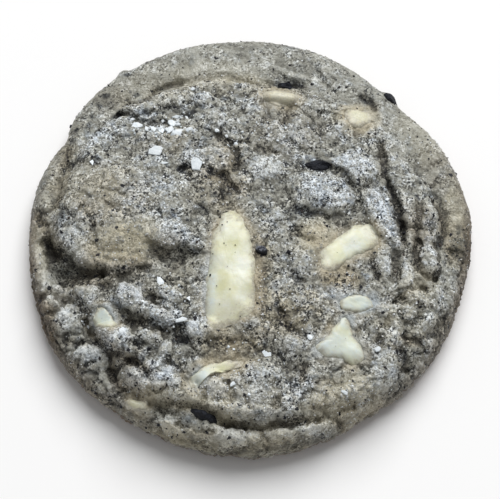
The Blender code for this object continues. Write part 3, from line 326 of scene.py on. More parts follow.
# Salt flakes: x, y, length, width, turn in degrees.
SALT_FLAKES = (
    (-19, 15.8, 2.8, 2.4, 12), (-11, 12.4, 2.3, 3.2, 15), (-14.2, 20, 3.2, 1.6, -4),
    (-23.1, 22.7, 2.3, 1.7, 10), (-21, 21.2, 1.3, 1.1, -20), (-19.7, 21.1, 1.3, 1.4, 30),
    (-18.1, 20.8, 1.8, 2.2, 15), (-15.9, 23, 2.2, 2.2, 40), (-16.3, 20.9, 2.2, 1.7, -15),
    (-12.4, 20.5, 1.6, 0.8, 25), (-15.1, 23.9, 1.8, 0.8, 8), (-13.1, 24, 1.1, 1.1, 0),
    (-17.8, 23.4, 0.9, 0.8, 0), (-24, 24.3, 1.3, 0.7, 10), (-17.3, 12.7, 1.8, 0.6, 5),
    (-14.6, 22, 1, 0.8, 0), (-32, 14, 1, 1.4, 5), (-17.6, -13, 1.3, 2.4, 25), (-11.9, -16.6, 1.1, 1.1, 0),
    (-13.6, -21.1, 2.6, 0.9, 18), (-24.9, -22.9, 1.7, 1.3, 30), (3.2, -27.4, 1.9, 2.2, 8),
    (11.6, -24.4, 1.3, 1, -30), (24.8, -26.6, 1.2, 1, 40), (18.2, -35, 1.6, 0.8, -35),
    (-3.2, -34, 1.9, 0.8, 35), (-6.7, 20.5, 1.2, 0.9, -40), (-4.7, 19.3, 1, 0.8, -30),
    (-2.8, 17.5, 1.1, 0.9, 0), (-11.8, 31.1, 0.9, 0.8, 0), (27.6, 5.6, 1.1, 0.9, 15),
)
# Edge loops of a flake, as share of its plan and height, and the heights of its two middles.
FLAKE_LEVELS = ((0.9, 0.30), (1.0, 0.16), (0.85, -0.40))
FLAKE_MIDDLES = (0.33, -0.45)

# Where small splinters of salt lie: x, y, half length, half width, turn in degrees, strength.
SALTED = (
    (-18.6, 21, 6.2, 1.5, -6, 1), (-11.6, 13, 3, 3, 0, 0.2), (4, 20.6, 5, 2, 0, 0.35),
    (-15, -15.5, 1.6, 3, 20, 0.5), (-22.5, -16.4, 3.2, 1, -40, 0.5), (-17.6, -20.6, 2.8, 1, -35, 0.6),
    (-1.5, -26.5, 2.5, 1.2, 0, 0.3), (-15, 24, 3, 0.8, 5, 0.6), (-18, 5, 6, 4, 0, 0.08),
    (-3, 17.6, 1.5, 1.5, 0, 0.3), (-33, -18, 3, 2, 0, 0.15), (2, -32, 8, 4, 0, 0.1),
)

# Tinted patches of the crust: x, y, half length, half width, turn in degrees, strength.
FROSTED = (
    (-12, 12.6, 3.5, 3, 0, 0.7), (-19.2, 16.5, 4, 3.5, 0, 0.5), (-16, 21, 5, 2.6, 0, 0.35),
    (3, 12, 4, 3.4, 0, 0.8), (15, 7.5, 6, 3.4, -20, 0.8), (21.4, 14, 4.4, 2.8, 0, 0.6),
    (26.8, 4.5, 2.2, 6.5, 15, 0.9), (-20, 6.5, 4.5, 3, 0, 0.6), (-15.5, -1.5, 2, 4.5, -15, 0.7),
    (7, 15.5, 6, 3, 0, 0.4), (12, 20.5, 7, 3, -10, 0.3), (-33, 20.5, 5, 3, 20, 0.5),
    (-28, -20, 4, 3.5, -50, 0.7), (-17, -20, 4, 2, -30, 0.9), (-22.5, -15.8, 4, 1.4, -35, 0.9),
    (-7, -34.5, 4, 3.2, 0, 0.9), (-1, -35, 4.5, 3.4, 0, 0.9), (-17, -31, 4.5, 2.6, -10, 0.6),
    (-1, -42, 4.5, 1.6, 0, 0.8), (-15, -40.5, 4, 1.4, -10, 0.6), (-35.5, -18.5, 3, 2.4, 0, 0.4),
    (-32, -27, 3.5, 3, -40, 0.7), (9, -36, 4, 3, 0, 0.6), (20, -36, 4, 2.4, 20, 0.6),
    (8, -15, 4, 3, 0, 0.6), (17.6, -15.6, 2.5, 1.8, 0, 0.8), (25.5, -17, 2.5, 2, 0, 0.8),
    (13, -24.5, 3, 2, 0, 0.9), (-9.6, -16.5, 1.8, 6, 0, 0.8), (-2, 28, 4, 1.6, -20, 0.5),
    (8, 28.8, 4.5, 1.4, -5, 0.6), (-10.5, 28.2, 3.5, 1.6, 0, 0.7), (-24.5, 24, 5, 1.6, 0, 0.6),
    (23.5, -39, 4.5, 1.6, 25, 0.9),
)
# Rows at x 42 to 43.2, y -2 to -2.8 paint browning and the shade of a hollow in the right rim.
BROWNED = (
    (-27, -8, 6.5, 2.6, -8, 0.9), (-31.5, -10.5, 6, 2.6, 8, 0.9), (-16.8, -6, 3, 1.6, 10, 0.7),
    (-3.5, -25.6, 5, 2.4, 0, 0.6), (-7, -29, 3.5, 1.8, 30, 0.6), (1.8, -13, 1.4, 8, 0, 0.9),
    (17.6, -12, 3.6, 2.2, 0, 0.8), (0.5, -24, 4.5, 1.8, 0, 0.5), (-5, -31.8, 3, 1.2, 0, 0.5),
    (-24, -29.6, 5, 1.8, -30, 0.5), (-10, 3, 3, 2.4, 0, 0.3), (42, -2.8, 2.2, 3.5, 0, 0.9),
    (39.5, 2, 1.5, 3, 0, 0.5), (31.5, 1.5, 2.5, 4, 0, 0.5), (34.5, 0.5, 2.6, 4, 0, 0.8),
    (-27, 5, 7, 6, 0, 0.4), (-23, -33.5, 4.5, 2.4, -20, 0.7), (8, -18.5, 6, 4.5, 0, 0.2),
    (8, 21, 7, 5, 0, 0.4), (-6, 8, 5, 7, 0, 0.4), (-18, 19, 6, 4, 0, 0.3), (-22.5, -14, 4, 2.5, -30, 0.4),
    (42.6, -2, 2, 4, 0, 1), (-29, 31, 4, 3, 0, 0.4), (38, 14, 3, 5, 10, 0.4), (-41, -18.5, 2.6, 5, 20, 1),
    (43.2, -2, 1.6, 4, 0, 1),
)
WARMED = (
    (2.5, -14, 2.6, 9, 0, 1), (8, -18.5, 7, 5, 0, 0.9), (-3, -26.5, 6, 2.6, 0, 1),
    (-7, -29.5, 4, 2, 30, 0.9), (17.5, -12, 4, 2.4, 0, 1), (-24.5, -5, 6, 3.5, 0, 1),
    (-28, 5, 8, 7, 0, 0.4), (-6, 8, 5, 7, 0, 0.6), (-16, -43.5, 14, 2.4, -14, 1),
    (6, -44.8, 14, 1.6, 4, 0.9), (-33, -34, 9, 3, -45, 0.9), (13, -3.5, 3, 3, 0, 0.9),
    (-10, 31.5, 10, 2.5, 10, 0.4), (22, 24, 4, 3, 0, 0.7), (-5, -36, 9, 3.5, 0, 0.3),
    (-12, -13, 3, 4, 0, 0.4), (41.5, 2, 2.6, 9, 0, 0.7), (30, -20, 5, 6, 0, 0.4),
    (-39, 12, 3, 12, -10, 0.6), (5, 30.5, 6, 2, 0, 0.5), (18, -36.5, 7, 3.5, 20, 0.7),
    (-15.5, 18, 3.5, 3, 0, 0.5), (12.5, -20.5, 3, 3, 0, 0.6),
)
PALE = (
    (-31, 8, 7, 5.5, 0, 0.3), (-25, -4.5, 7, 3.6, 8, 1), (14, -3, 3.2, 3, 0, 0.9),
    (22, 25.5, 4, 2.4, 0, 0.7), (-1.6, 34.5, 5, 1.6, 0, 0.6), (-22, 33.5, 6, 3, 25, 0.3),
    (-12, -43, 9, 1.6, -8, 0.5), (4, -43.4, 7, 1.4, 4, 0.3), (-42.8, -4, 1.6, 6, 10, 0.7),
    (35, 22, 4, 6, 35, 0.4), (42, 3, 2, 8, 0, 0.4), (-9, 36, 9, 3, 5, 0.4), (26.5, -19, 2.2, 2, 0, 0.7),
    (-6, -36, 9, 3.6, 0, 0.6), (-17.5, -35.5, 3, 1.6, -20, 0.8), (18, -35.5, 7, 3.5, 20, 0.8),
    (23.5, -38, 5, 2, 25, 1), (-11, -41.5, 6, 2, -8, 0.5), (12, -4.5, 3, 2.2, 30, 0.9),
    (0, -43.5, 8, 1.6, 0, 0.3), (3.5, 12, 2.5, 2.5, 0, 0.4), (33.5, -13, 3.5, 3.5, 0, 0.5),
    (-24.2, -4.6, 3.4, 1.8, 0, 0.9), (-30, -38.5, 9, 1.8, -40, 0.7), (-7, -38, 7, 2.4, -8, 0.9),
    (-15.5, -42, 5, 1.6, -14, 0.7), (2, -42.5, 6, 1.6, 0, 0.7),
)
# The row at x 42.4, y -2.4 paints the shade of a hollow in the right rim.
SMUDGED = (
    (24.3, 30, 1.4, 1.8, 0, 0.9), (8.3, 33.8, 2.6, 1, 0, 0.9), (13.1, 12.6, 3.6, 1.3, 0, 0.9),
    (-37, 2.4, 1.4, 1.8, 0, 0.9), (-35.2, 15.4, 1.8, 1.2, 0, 0.7), (-31.1, 14.6, 1.3, 0.9, 0, 0.8),
    (-27.3, 26, 1.2, 1, 0, 0.9), (-13.2, -3.8, 0.7, 0.8, 0, 1), (9.2, 6.8, 0.5, 0.5, 0, 1),
    (-9.5, 2.3, 1, 1.4, 0, 0.9), (-4.8, 6.5, 1.5, 1, 0, 0.8), (-13.6, -24.6, 1.6, 1.1, 0, 0.9),
    (-9.9, 18.2, 2, 1.6, 0, 0.5), (-17.5, 13.4, 0.7, 0.6, 0, 1), (-13.7, 11.6, 0.9, 0.7, 0, 0.9),
    (-8, 10.9, 0.9, 0.7, 0, 1), (2.8, 2.4, 1, 0.9, 0, 0.9), (-20.4, 8, 0.6, 0.6, 0, 1),
    (-23.7, 6.6, 0.6, 0.5, 0, 0.8), (-9.6, 6.3, 0.7, 0.5, 0, 0.9), (-5.7, 25.6, 1.2, 0.6, 0, 0.6),
    (-22.1, -25.2, 1.4, 1, 0, 0.7), (-33.9, -23.8, 1.4, 1, 0, 0.8), (-31.1, -27.3, 1.4, 0.9, 0, 0.8),
    (29.8, -26.8, 0.9, 1.4, 0, 0.9), (36.1, 0.4, 1, 1.4, 0, 0.9), (-10.6, 8.5, 1.2, 0.9, 0, 0.4),
    (-12.3, 25, 1.6, 0.9, 0, 0.6), (2.6, -10, 1, 2.4, 0, 0.4), (10, 2, 2.6, 1.2, 0, 0.8),
    (13.8, 3.4, 1.8, 1, 0, 0.7), (-19, -7, 1.8, 1, 0, 0.6), (28.4, 9.5, 1.4, 3.5, 10, 0.5),
    (29.6, 0.5, 1.2, 3.5, 0, 0.6), (38.2, -2, 0.7, 1, 0, 0.7), (42.4, -2.4, 1.6, 3.6, 0, 0.95),
    (-11, -40.2, 2.4, 0.8, -12, 0.9), (-2, 12.4, 1, 2, 0, 0.3), (-16, 25.8, 3, 0.9, 0, 0.6),
    (-20.5, 25.4, 2.5, 0.9, 0, 0.7), (6.2, -21, 1, 1.4, 0, 0.5), (12, -20.6, 1.6, 1.2, 0, 0.5),
    (-29.7, 31.3, 0.6, 0.6, 0, 1), (-31.3, 29.2, 0.7, 0.6, 0, 1), (-32.7, 26.7, 0.6, 0.6, 0, 1),
    (-33.2, 24.3, 0.6, 0.6, 0, 1), (-36.2, 23.9, 0.6, 0.6, 0, 1), (-23.7, 31.1, 0.8, 0.6, 0, 1),
    (-36.5, 20.9, 0.6, 0.8, 0, 1), (-31.5, 22.4, 0.6, 0.6, 0, 1), (-25.6, 36.4, 0.9, 0.7, 0, 1),
)
PATCHES = {"frosted": FROSTED, "browned": BROWNED, "warmed": WARMED, "pale": PALE, "smudged": SMUDGED,
           "film": VEILED, "cool": COOLED}
PATCH_REACH = 1.6    # where a patch ends, as a share of its half sizes
PATCH_WARP = 0.8
SKIRT_BLEND = 3.0    # width of the blend from the tall middle to the skirt
# Painted shade of the creases: its reach as a share of a shoulder's width, and the depth from which it is
# darkest.
CREASE_SHADE_REACH = 0.9
CREASE_SHADE_DARKEST_DEPTH = 1.6  # depth from which a crease is darkest
CHUNK_HALO = 2.0     # width of the film beside a chunk

# How dark and brown the side of the dough is: baked browning and painted shade.
RIM_BROWN_AND_SHADE = (0.9, 0.5, 0.1, 0.0, 0.0, 0.0, 0.0, 0.0, 0.0, 0.0, 0.1, 0.3,
            0.8, 1.0, 0.9, 0.6, 0.4, 0.15, 0.1, 0.1, 0.4, 0.6, 0.7, 0.9)
RIM_BROWN_AND_SHADE_WIDTH = 3.0

# ---------------------------------------------------------------- crust and fineness

# Plates, clods and crumbles of the crust: width, share of it that the creases take, doming, seed.
PLATES = (6.2, 0.15, 0.45, 30)
CLODS = (3.1, 0.28, 0.55, 31)
CRUMBLES = (1.4, 0.6, 0.7, 32)
CRUST_BEND = 0.9
PLATE_RISE = 0.50
CLOD_RISE = 0.34
CRUMB_RISE = 0.27
GRAIN_RISE = 0.15
CRUMB_ROUNDS = 10    # rounds of averaging that level the crumbs
LUMP_ROUNDS = 160    # rounds of averaging that level the lumps
TOP_RINGS = 164
SIDE_ROWS = 10
RIM_CROWDING = 0.05
RIM_CROWDING_POWER = 20
UNDER_RINGS = TOP_RINGS // 4
UNDER_EDGE_SHARE = 0.985
UNDER_DISC_SHARE = 0.965

# Grains: how many, usual size, spread of the sizes, largest size, flatness, unevenness, first seed.
SPLINTERS = (270, 0.48, 0.40, 3.0, 0.4, 0.25, 58)
SUGAR = (7000, 0.32, 0.30, 0.8, 0.55, 0.15, 52)
CRUMBS = (1900, 0.40, 0.45, 1.4, 0.45, 0.3, 55)

# ---------------------------------------------------------------- camera and light

FROM_STRAIGHT_ABOVE = 22.0               # how far the view leans
CAMERA_DISTANCE = 400.0
CAMERA_TARGET = (0.0, -1.75, 3.5)
WIDTH_IN_PHOTO_SHARE = 442.3 / 500.0     # the cookie's width as a share of the picture's width
COOKIE_WIDTH = 90.0
SENSOR_WIDTH = 36.0
FLOOR_WIDTH = 3000.0
KEY_PLACE = (385.0, 1280.0, 1750.0)
KEY_WIDTH = 1875.0
KEY_POWER = 54.5
SKY_STRENGTH = 0.28


# ================================================================ numbers

def ease(share):
    """Smooth step from 0 to 1."""
    share = np.clip(share, 0.0, 1.0)
    return share * share * (3.0 - 2.0 * share)


def round_curve(values, angle):
    """Smooth closed curve through values spaced evenly round the circle, read at an angle."""
    values = np.asarray(values)
    count = len(values)
    place = np.mod(angle / (2.0 * np.pi) * count, count)
    first = np.floor(place).astype(int)
    part = place - first
    before, start, end, after = (values[(first + step) % count] for step in (-1, 0, 1, 2))
    bend = 2.0 * before - 5.0 * start + 4.0 * end - after
    twist = 3.0 * start - before - 3.0 * end + after
    return start + 0.5 * part * (end - before + part * (bend + part * twist))


def turned(x, y, centre_x, centre_y, degrees):
    """Coordinates along and across a piece that is turned about its centre."""
    turn = math.radians(degrees)
    along = (x - centre_x) * math.cos(turn) + (y - centre_y) * math.sin(turn)
    across = (y - centre_y) * math.cos(turn) - (x - centre_x) * math.sin(turn)
    return along, across


def laid(along, across, centre_x, centre_y, degrees):
    """Plan places of points given along and across a piece that is turned about its centre."""
    turn = math.radians(degrees)
    x = centre_x + along * math.cos(turn) - across * math.sin(turn)
    y = centre_y + along * math.sin(turn) + across * math.cos(turn)
    return x, y


def from_stretch(x, y, start, end):
    """Plan distance from each point to a straight stretch, and how far along it the nearest place is."""
    (ax, ay), (bx, by) = start, end
    share = ((x - ax) * (bx - ax) + (y - ay) * (by - ay)) / ((bx - ax) ** 2 + (by - ay) ** 2)
    share = np.clip(share, 0.0, 1.0)
    return np.hypot(x - ax - share * (bx - ax), y - ay - share * (by - ay)), share


def path_distance(x, y, path):
    """Plan distance from each point to a path of straight stretches."""
    distances = (from_stretch(x, y, start, end)[0] for start, end in zip(path, path[1:]))
    return functools.reduce(np.minimum, distances)


def right_of_path(x, y, path):
    """Plan distance to the right of a path, negative to its left, and a share that fades at its ends."""
    nearest = np.full(np.shape(x), np.inf)
    away = np.zeros(np.shape(x))
    travelled = np.zeros(np.shape(x))
    length = 0.0
    for (ax, ay), (bx, by) in zip(path, path[1:]):
        step = math.hypot(bx - ax, by - ay)
        distance, share = from_stretch(x, y, (ax, ay), (bx, by))
        right = (x - ax) * (by - ay) - (y - ay) * (bx - ax)
        closer = distance < nearest
        nearest = np.where(closer, distance, nearest)
        away = np.where(closer, np.sign(right) * distance, away)
        travelled = np.where(closer, length + share * step, travelled)
        length += step
    fade = min(LONGEST_FADE, 0.3 * length)
    return away, ease(np.minimum(travelled, length - travelled) / fade)


def unevenness(x, y, width, seed):
    """Smooth seeded noise from -1 to 1 in plan, whose lumps are about the given width."""
    table = np.random.default_rng(seed).uniform(-1.0, 1.0, (NOISE_CELLS, NOISE_CELLS))
    column = np.floor(x / width).astype(int)
    row = np.floor(y / width).astype(int)
    right = ease(x / width - column)
    up = ease(y / width - row)

    def corner(step_x, step_y):
        return table[(column + step_x) % NOISE_CELLS, (row + step_y) % NOISE_CELLS]

    low = corner(0, 0) * (1.0 - right) + corner(1, 0) * right
    high = corner(0, 1) * (1.0 - right) + corner(1, 1) * right
    return low * (1.0 - up) + high * up


def noise(points, width, seed):
    """Gradient noise from about -1 to 1 in space, with features of a given width."""
    draw = np.random.default_rng(seed)
    slopes = draw.normal(size=(256, 3))
    slopes /= np.linalg.norm(slopes, axis=1)[:, None]
    order = draw.permutation(256)
    place = points / width
    cell = np.floor(place).astype(int)
    part = place - cell
    fade = part ** 3 * (part * (part * 6.0 - 15.0) + 10.0)
    total = np.zeros(len(points))
    for corner in itertools.product((0, 1), repeat=3):
        x, y, z = ((cell + corner) & 255).T
        pick = order[(order[(order[x] + y) & 255] + z) & 255]
        weight = np.prod(np.where(corner, fade, 1.0 - fade), axis=1)
        total += weight * np.sum(slopes[pick] * (part - corner), axis=1)
    return 1.7 * total


def layered_noise(points, width, layers, seed, keep=0.5):
    """Noise of several widths, each half the one before and weaker than it."""
    total = np.zeros(len(points))
    strength = 1.0
    whole = 0.0
    for layer in range(layers):
        total += strength * noise(points, width / 2 ** layer, seed + layer)
        whole += strength
        strength *= keep
    return total / whole


def noise_columns(points, width, seeds):
    """Columns of noise, one for each seed."""
    return np.column_stack([noise(points, width, seed) for seed in seeds])


def cobbles(points, width, crease, doming, seed):
    """Lumps side by side, 1 on their tops and 0 in creases that are a share of their width."""
    spots = np.random.default_rng(seed).uniform(0.0, 1.0, (4096, 3))
    place = points / width
    cell = np.floor(place).astype(int)
    nearest = np.full(len(points), 9.0)
    second = np.full(len(points), 9.0)
    for step in itertools.product((-1, 0, 1), repeat=3):
        near = cell + step
        pick = (near[:, 0] * 73 + near[:, 1] * 179 + near[:, 2] * 283) & 4095
        distance = np.linalg.norm(near + spots[pick] - place, axis=1)
        second = np.minimum(second, np.maximum(distance, nearest))
        nearest = np.minimum(nearest, distance)
    return ease((second - nearest) / crease) * (1.0 - doming * nearest ** 2)


# ================================================================ shape of the dough

def rim_radius(angle):
    """Plan radius of the widest line."""
    radius = round_curve(RIM_RADII, angle)
    for centre, half_width, height in RIM_BUMPS:
        away = np.mod(np.degrees(angle) - centre + 180.0, 360.0) - 180.0
        radius = radius + height * np.exp(-(away / half_width) ** 2)
    return radius


def base_height(x, y):
    """Height of the plain dough at plan points inside the rim: rounded edge, skirt, step and dome."""
    radius = np.hypot(x, y)
    angle = np.arctan2(y, x)
    inside = np.maximum(rim_radius(angle) - radius, 0.0)
    middle = round_curve(MIDDLE_RADII, angle)
    skirt_round = round_curve(SKIRT_ROUNDS, angle)
    rounding = 1.0 - np.minimum(inside / skirt_round, 1.0)
    height = BULGE_HEIGHT + SKIRT_RISE * np.sqrt(1.0 - rounding ** 2)
    height = height + SKIRT_SLOPE * np.maximum(inside - skirt_round, 0.0)
    step = round_curve(MIDDLE_STEPS, angle)
    height = height + step * ease((middle - radius) / MIDDLE_STEP_WIDTH + 0.3)
    return height + DOME_RISE * (1.0 - np.clip(radius / middle, 0.0, 1.0) ** DOME_POWER)


def lump_height(x, y, row, spread):
    """Height of one rounded lump over plan points, 0 outside it."""
    centre_x, centre_y, half_length, half_width, turn, rise, softness = row
    along, across = turned(x, y, centre_x, centre_y, turn)
    reach = ((along / half_length) ** 2 + (across / half_width) ** 2) / spread ** 2
    return rise * np.maximum(1.0 - reach, 0.0) ** softness


def relief_height(x, y):
    """Lumps, folds and creases over the plain dough at plan points, nothing at the rim."""
    inside = np.maximum(rim_radius(np.arctan2(y, x)) - np.hypot(x, y), 0.0)
    plain_x, plain_y = x, y
    for width, shift, seed in WANDER:
        x = x + shift * unevenness(plain_x, plain_y, width, seed)
        y = y + shift * unevenness(plain_x, plain_y, width, seed + 1)
    relief = sum(lump_height(x, y, row, LUMP_SPREAD) for row in LUMPS)
    knobs = (lump_height(x, y, row, KNOB_SPREAD) for row in KNOBS)
    relief = relief + functools.reduce(np.maximum, knobs)
    for drop, climb, path in FOLDS:
        away, taper = right_of_path(x, y, path)
        relief = relief - drop * taper * ease(away / FOLD_EDGE) * (1.0 - ease(away / climb))
    for depth, shoulder, path in CREASES:
        away = np.maximum(path_distance(x, y, path) - CREASE_FLOOR, 0.0)
        near = np.clip(1.0 - away / (CREASE_REACH * shoulder), 0.0, 1.0)
        relief = relief - depth * (1.0 - np.sqrt(1.0 - near ** 2))
    for width, rise, seed in UNEVENNESS:
        relief = relief + rise * unevenness(x, y, width, seed)
    return relief * ease(inside / RELIEF_MARGIN)


def top_height(x, y):
    """Height of the dough's top above the ground at plan points inside the rim."""
    return base_height(x, y) + relief_height(x, y)


def patch_strength(x, y, patches):
    """How strongly the patches of a table cover each plan point, 0 to 1."""
    strength = np.zeros(np.shape(x))
    for centre_x, centre_y, half_length, half_width, turn, level in patches:
        along, across = turned(x, y, centre_x, centre_y, turn)
        reach = np.hypot(along / half_length, across / half_width)
        strength = np.maximum(strength, level * ease(PATCH_REACH - reach))
    return strength


def outline_distance(x, y, outline):
    """Signed plan distance to a closed outline, positive inside it."""
    inside = np.zeros(np.shape(x), bool)
    for (ax, ay), (bx, by) in zip(outline, [*outline[1:], outline[0]]):
        if ay != by:
            crosses = (ay > y) != (by > y)
            inside ^= crosses & (x < (bx - ax) * (y - ay) / (by - ay) + ax)
    distance = path_distance(x, y, [*outline, outline[0]])
    return np.where(inside, distance, -distance)


def smooth_loop(outline, count):
    """Closed smooth curve through an outline's points, sampled evenly along its length."""
    outline = np.asarray(outline)
    fine = np.linspace(0.0, 2.0 * np.pi, 40 * len(outline), endpoint=False)
    curve = np.column_stack([round_curve(outline[:, axis], fine) for axis in (0, 1)])
    closed = np.vstack((curve, curve[:1]))
    travelled = np.concatenate(([0.0], np.cumsum(np.hypot(*np.diff(closed, axis=0).T))))
    stops = np.linspace(0.0, travelled[-1], count, endpoint=False)
    loop = np.column_stack([np.interp(stops, travelled, closed[:, axis]) for axis in (0, 1)])
    x, y = loop.T
    runs_clockwise = np.sum(x * np.roll(y, -1) - np.roll(x, -1) * y) < 0.0
    return loop[::-1] if runs_clockwise else loop


def ragged(loop, strength, seed):
    """A loop whose line wanders unevenly in plan."""
    places = np.column_stack((loop, np.zeros(len(loop))))
    shifts = [layered_noise(places, RAGGED_WIDTH, 3, seed + step, 0.6) for step in (0, 50)]
    return loop + strength * np.column_stack(shifts)


def shard_outline(row):
    """Angular outline of a dark cookie piece."""
    x, y, half_length, half_width, turn, _, seed = row
    angle = np.linspace(0.0, 2.0 * np.pi, SHARD_CORNERS, endpoint=False)
    reach = np.random.default_rng(seed).uniform(0.85, 1.12, SHARD_CORNERS)
    along = half_length * reach * np.cos(angle)
    across = half_width * reach * np.sin(angle)
    return np.column_stack(laid(along, across, x, y, turn))


# ================================================================ meshes

def new_mesh_object(name, points, faces, material, smooth=True):
    """Object from points in millimetres and faces by point number."""
    mesh = bpy.data.meshes.new(name)
    mesh.from_pydata((np.asarray(points) * MM).tolist(), [], np.asarray(faces).tolist())
    mesh.update()
    mesh.materials.append(material)
    mesh.polygons.foreach_set("use_smooth", np.full(len(mesh.polygons), smooth))
    item = bpy.data.objects.new(name, mesh)
    bpy.context.scene.collection.objects.link(item)
    return item


def add_marks(item, marks):
    """Stores one number a point for each named mark, for the materials to read."""
    for name, values in marks.items():
        mark = item.data.attributes.new(name, "FLOAT", "POINT")
        mark.data.foreach_set("value", np.asarray(values, np.float32))


def point_normals(points, triangles):
    """Unit normal of each point of a triangle mesh."""
    a, b, c = (points[triangles[:, corner]] for corner in range(3))
    face = np.cross(b - a, c - a)
    normal = np.zeros_like(points)
    for corner, axis in itertools.product(range(3), range(3)):
        normal[:, axis] += np.bincount(triangles[:, corner], face[:, axis], len(points))
    return normal / np.maximum(np.linalg.norm(normal, axis=1), 1e-9)[:, None]


def smoothed(values, faces, rounds):
    """Numbers of a mesh's points, averaged with those of their neighbours a number of times."""
    start = faces[:, (0, 1, 2)].ravel()
    end = faces[:, (1, 2, 0)].ravel()
    count = len(values)
    neighbours = np.bincount(start, minlength=count) + np.bincount(end, minlength=count)
    for _ in range(rounds):
        total = np.bincount(start, values[end], count) + np.bincount(end, values[start], count)
        values = total / np.maximum(neighbours, 1)
    return values


def ring_disc(rings):
    """Unit disc of rings of 6, 12, 18 ... points: radii and angles, triangles and the loop of its rim."""
    number = np.repeat(np.arange(1, rings + 1), 6 * np.arange(1, rings + 1))
    place = np.arange(1, len(number) + 1)
    first = 1 + 3 * number * (number - 1)
    angle = 2.0 * np.pi * (place - first) / (6 * number)
    triangles = []
    for ring in range(1, rings + 1):
        outer_start = 1 + 3 * ring * (ring - 1)
        inner_start = max(outer_start - 6 * (ring - 1), 0)
        sector, step = (part.ravel() for part in np.meshgrid(np.arange(6), np.arange(ring), indexing="ij"))
        outer = outer_start + (sector * ring + step) % (6 * ring)
        outer_next = outer_start + (sector * ring + step + 1) % (6 * ring)
        inner_count = max(6 * (ring - 1), 1)
        inner = inner_start + (sector * (ring - 1) + step) % inner_count
        inner_next = inner_start + (sector * (ring - 1) + step + 1) % inner_count
        triangles.append(np.column_stack((inner, outer, outer_next)))
        between = step < ring - 1
        triangles.append(np.column_stack((inner, outer_next, inner_next))[between])
    rim = np.arange(len(place) + 1 - 6 * rings, len(place) + 1)
    return np.append(0.0, number / rings), np.append(0.0, angle), np.concatenate(triangles), rim


def join_loops(upper, lower):
    """Triangles between a loop and one of as many or half as many points below it."""
    if len(lower) == len(upper):
        after = np.roll(upper, -1)
        low_after = np.roll(lower, -1)
        return np.concatenate((np.column_stack((lower, low_after, after)),
                               np.column_stack((lower, after, upper))))
    middle = upper[1::2]
    start = upper[0::2]
    end = np.roll(start, -1)
    low_end = np.roll(lower, -1)
    return np.concatenate((np.column_stack((lower, middle, start)),
                           np.column_stack((lower, low_end, middle)),
                           np.column_stack((low_end, end, middle))))


def stacked_faces(count, levels):
    """Triangles of loops one over another, closed by a top and a bottom middle, which are the last points."""
    place = np.arange(count)
    after = np.roll(place, -1)
    lowest = (levels - 1) * count
    top = np.full(count, levels * count)
    faces = [np.column_stack((top, place, after)),
             np.column_stack((top + 1, lowest + after, lowest + place))]
    for level in range(levels - 1):
        upper = level * count + place
        faces.append(join_loops(upper, upper + count))
    return np.vstack(faces)


def around(radius, angle, height):
    """Points at a plan radius, an angle and a height."""
    return np.column_stack((radius * np.cos(angle), radius * np.sin(angle), np.full(len(angle), height)))


def dough_top():
    """Points of the top in rings that crowd towards the rim, triangles, and the rim's loop and angles."""
    share, angle, faces, rim = ring_disc(TOP_RINGS)
    share = (1.0 + RIM_CROWDING) * share - RIM_CROWDING * share ** RIM_CROWDING_POWER
    points = around(share * rim_radius(angle), angle, 0.0)
    points[:, 2] = top_height(*points[:, :2].T)
    points[rim, 2] = BULGE_HEIGHT
    return points, faces, rim, angle[rim]


def dough_side(angle):
    """Loops down the rounded side, and one half as fine just inside the lowest, on the ground."""
    loops = []
    for turn in np.linspace(0.0, 0.5 * math.pi, SIDE_ROWS + 1)[1:]:
        radius = rim_radius(angle) - TUCK * (1.0 - math.cos(turn))
        loops.append(around(radius, angle, BULGE_HEIGHT * (1.0 - math.sin(turn))))
    return [*loops, loops[-1][::2] * (UNDER_EDGE_SHARE, UNDER_EDGE_SHARE, 0.0)]


def dough_mesh():
    """Points and triangles of the plain dough: top, rounded side and flat underside."""
    top, top_faces, upper, rim_angle = dough_top()
    points = [top]
    faces = [top_faces]
    total = len(top)
    for loop in dough_side(rim_angle):
        lower = total + np.arange(len(loop))
        faces.append(join_loops(upper, lower))
        points.append(loop)
        total += len(loop)
        upper = lower
    share, angle, under_faces, under_rim = ring_disc(UNDER_RINGS)
    points.append(around(share * (rim_radius(angle) - TUCK) * UNDER_DISC_SHARE, angle, 0.0))
    faces.append(join_loops(upper, total + under_rim))
    faces.append(under_faces[:, ::-1] + total)
    return np.vstack(points), np.vstack(faces)


def dough_marks(points, chunk_depth):
    """Where the crust is skirt, frosted, browned, warm, pale, in painted shade and so on, as shares from 0 to
    1.
    """
    x, y, z = points.T
    warp = PATCH_WARP * noise_columns(points, 2.6, (61, 62))
    radius = np.hypot(x, y)
    angle = np.arctan2(y, x)
    # Band up the side that gets baked browning and painted shade.
    rim = ease((radius - rim_radius(angle) + 0.4 * warp[:, 0]) / RIM_BROWN_AND_SHADE_WIDTH + 1.0)
    # Nearness to the creases, for the painted shade in them.
    crease_shade = np.zeros(len(x))
    for depth, half_width, path in CREASES:
        reach = path_distance(x, y, path) / (CREASE_SHADE_REACH * half_width)
        crease_shade = np.maximum(crease_shade, min(depth / CREASE_SHADE_DARKEST_DEPTH, 1.0) * np.exp(-reach ** 2))
    top = z > BULGE_HEIGHT
    marks = {name: patch_strength(x + warp[:, 0], y + warp[:, 1], table) * top
             for name, table in PATCHES.items()}
    beside_chunk = ease(1.0 - np.abs(chunk_depth + 0.2) / CHUNK_HALO)
    return marks | {
        "skirt": ease((radius - round_curve(MIDDLE_RADII, angle)) / SKIRT_BLEND + 0.5),
        "crease_shade": crease_shade * top,
        "rim_brown_and_shade": np.clip(round_curve(RIM_BROWN_AND_SHADE, angle), 0.0, 1.0) * rim,
        "underneath": ease((BULGE_HEIGHT + 0.6 - z) / BULGE_HEIGHT),
        "film": np.maximum(beside_chunk * top, marks["film"]),
    }


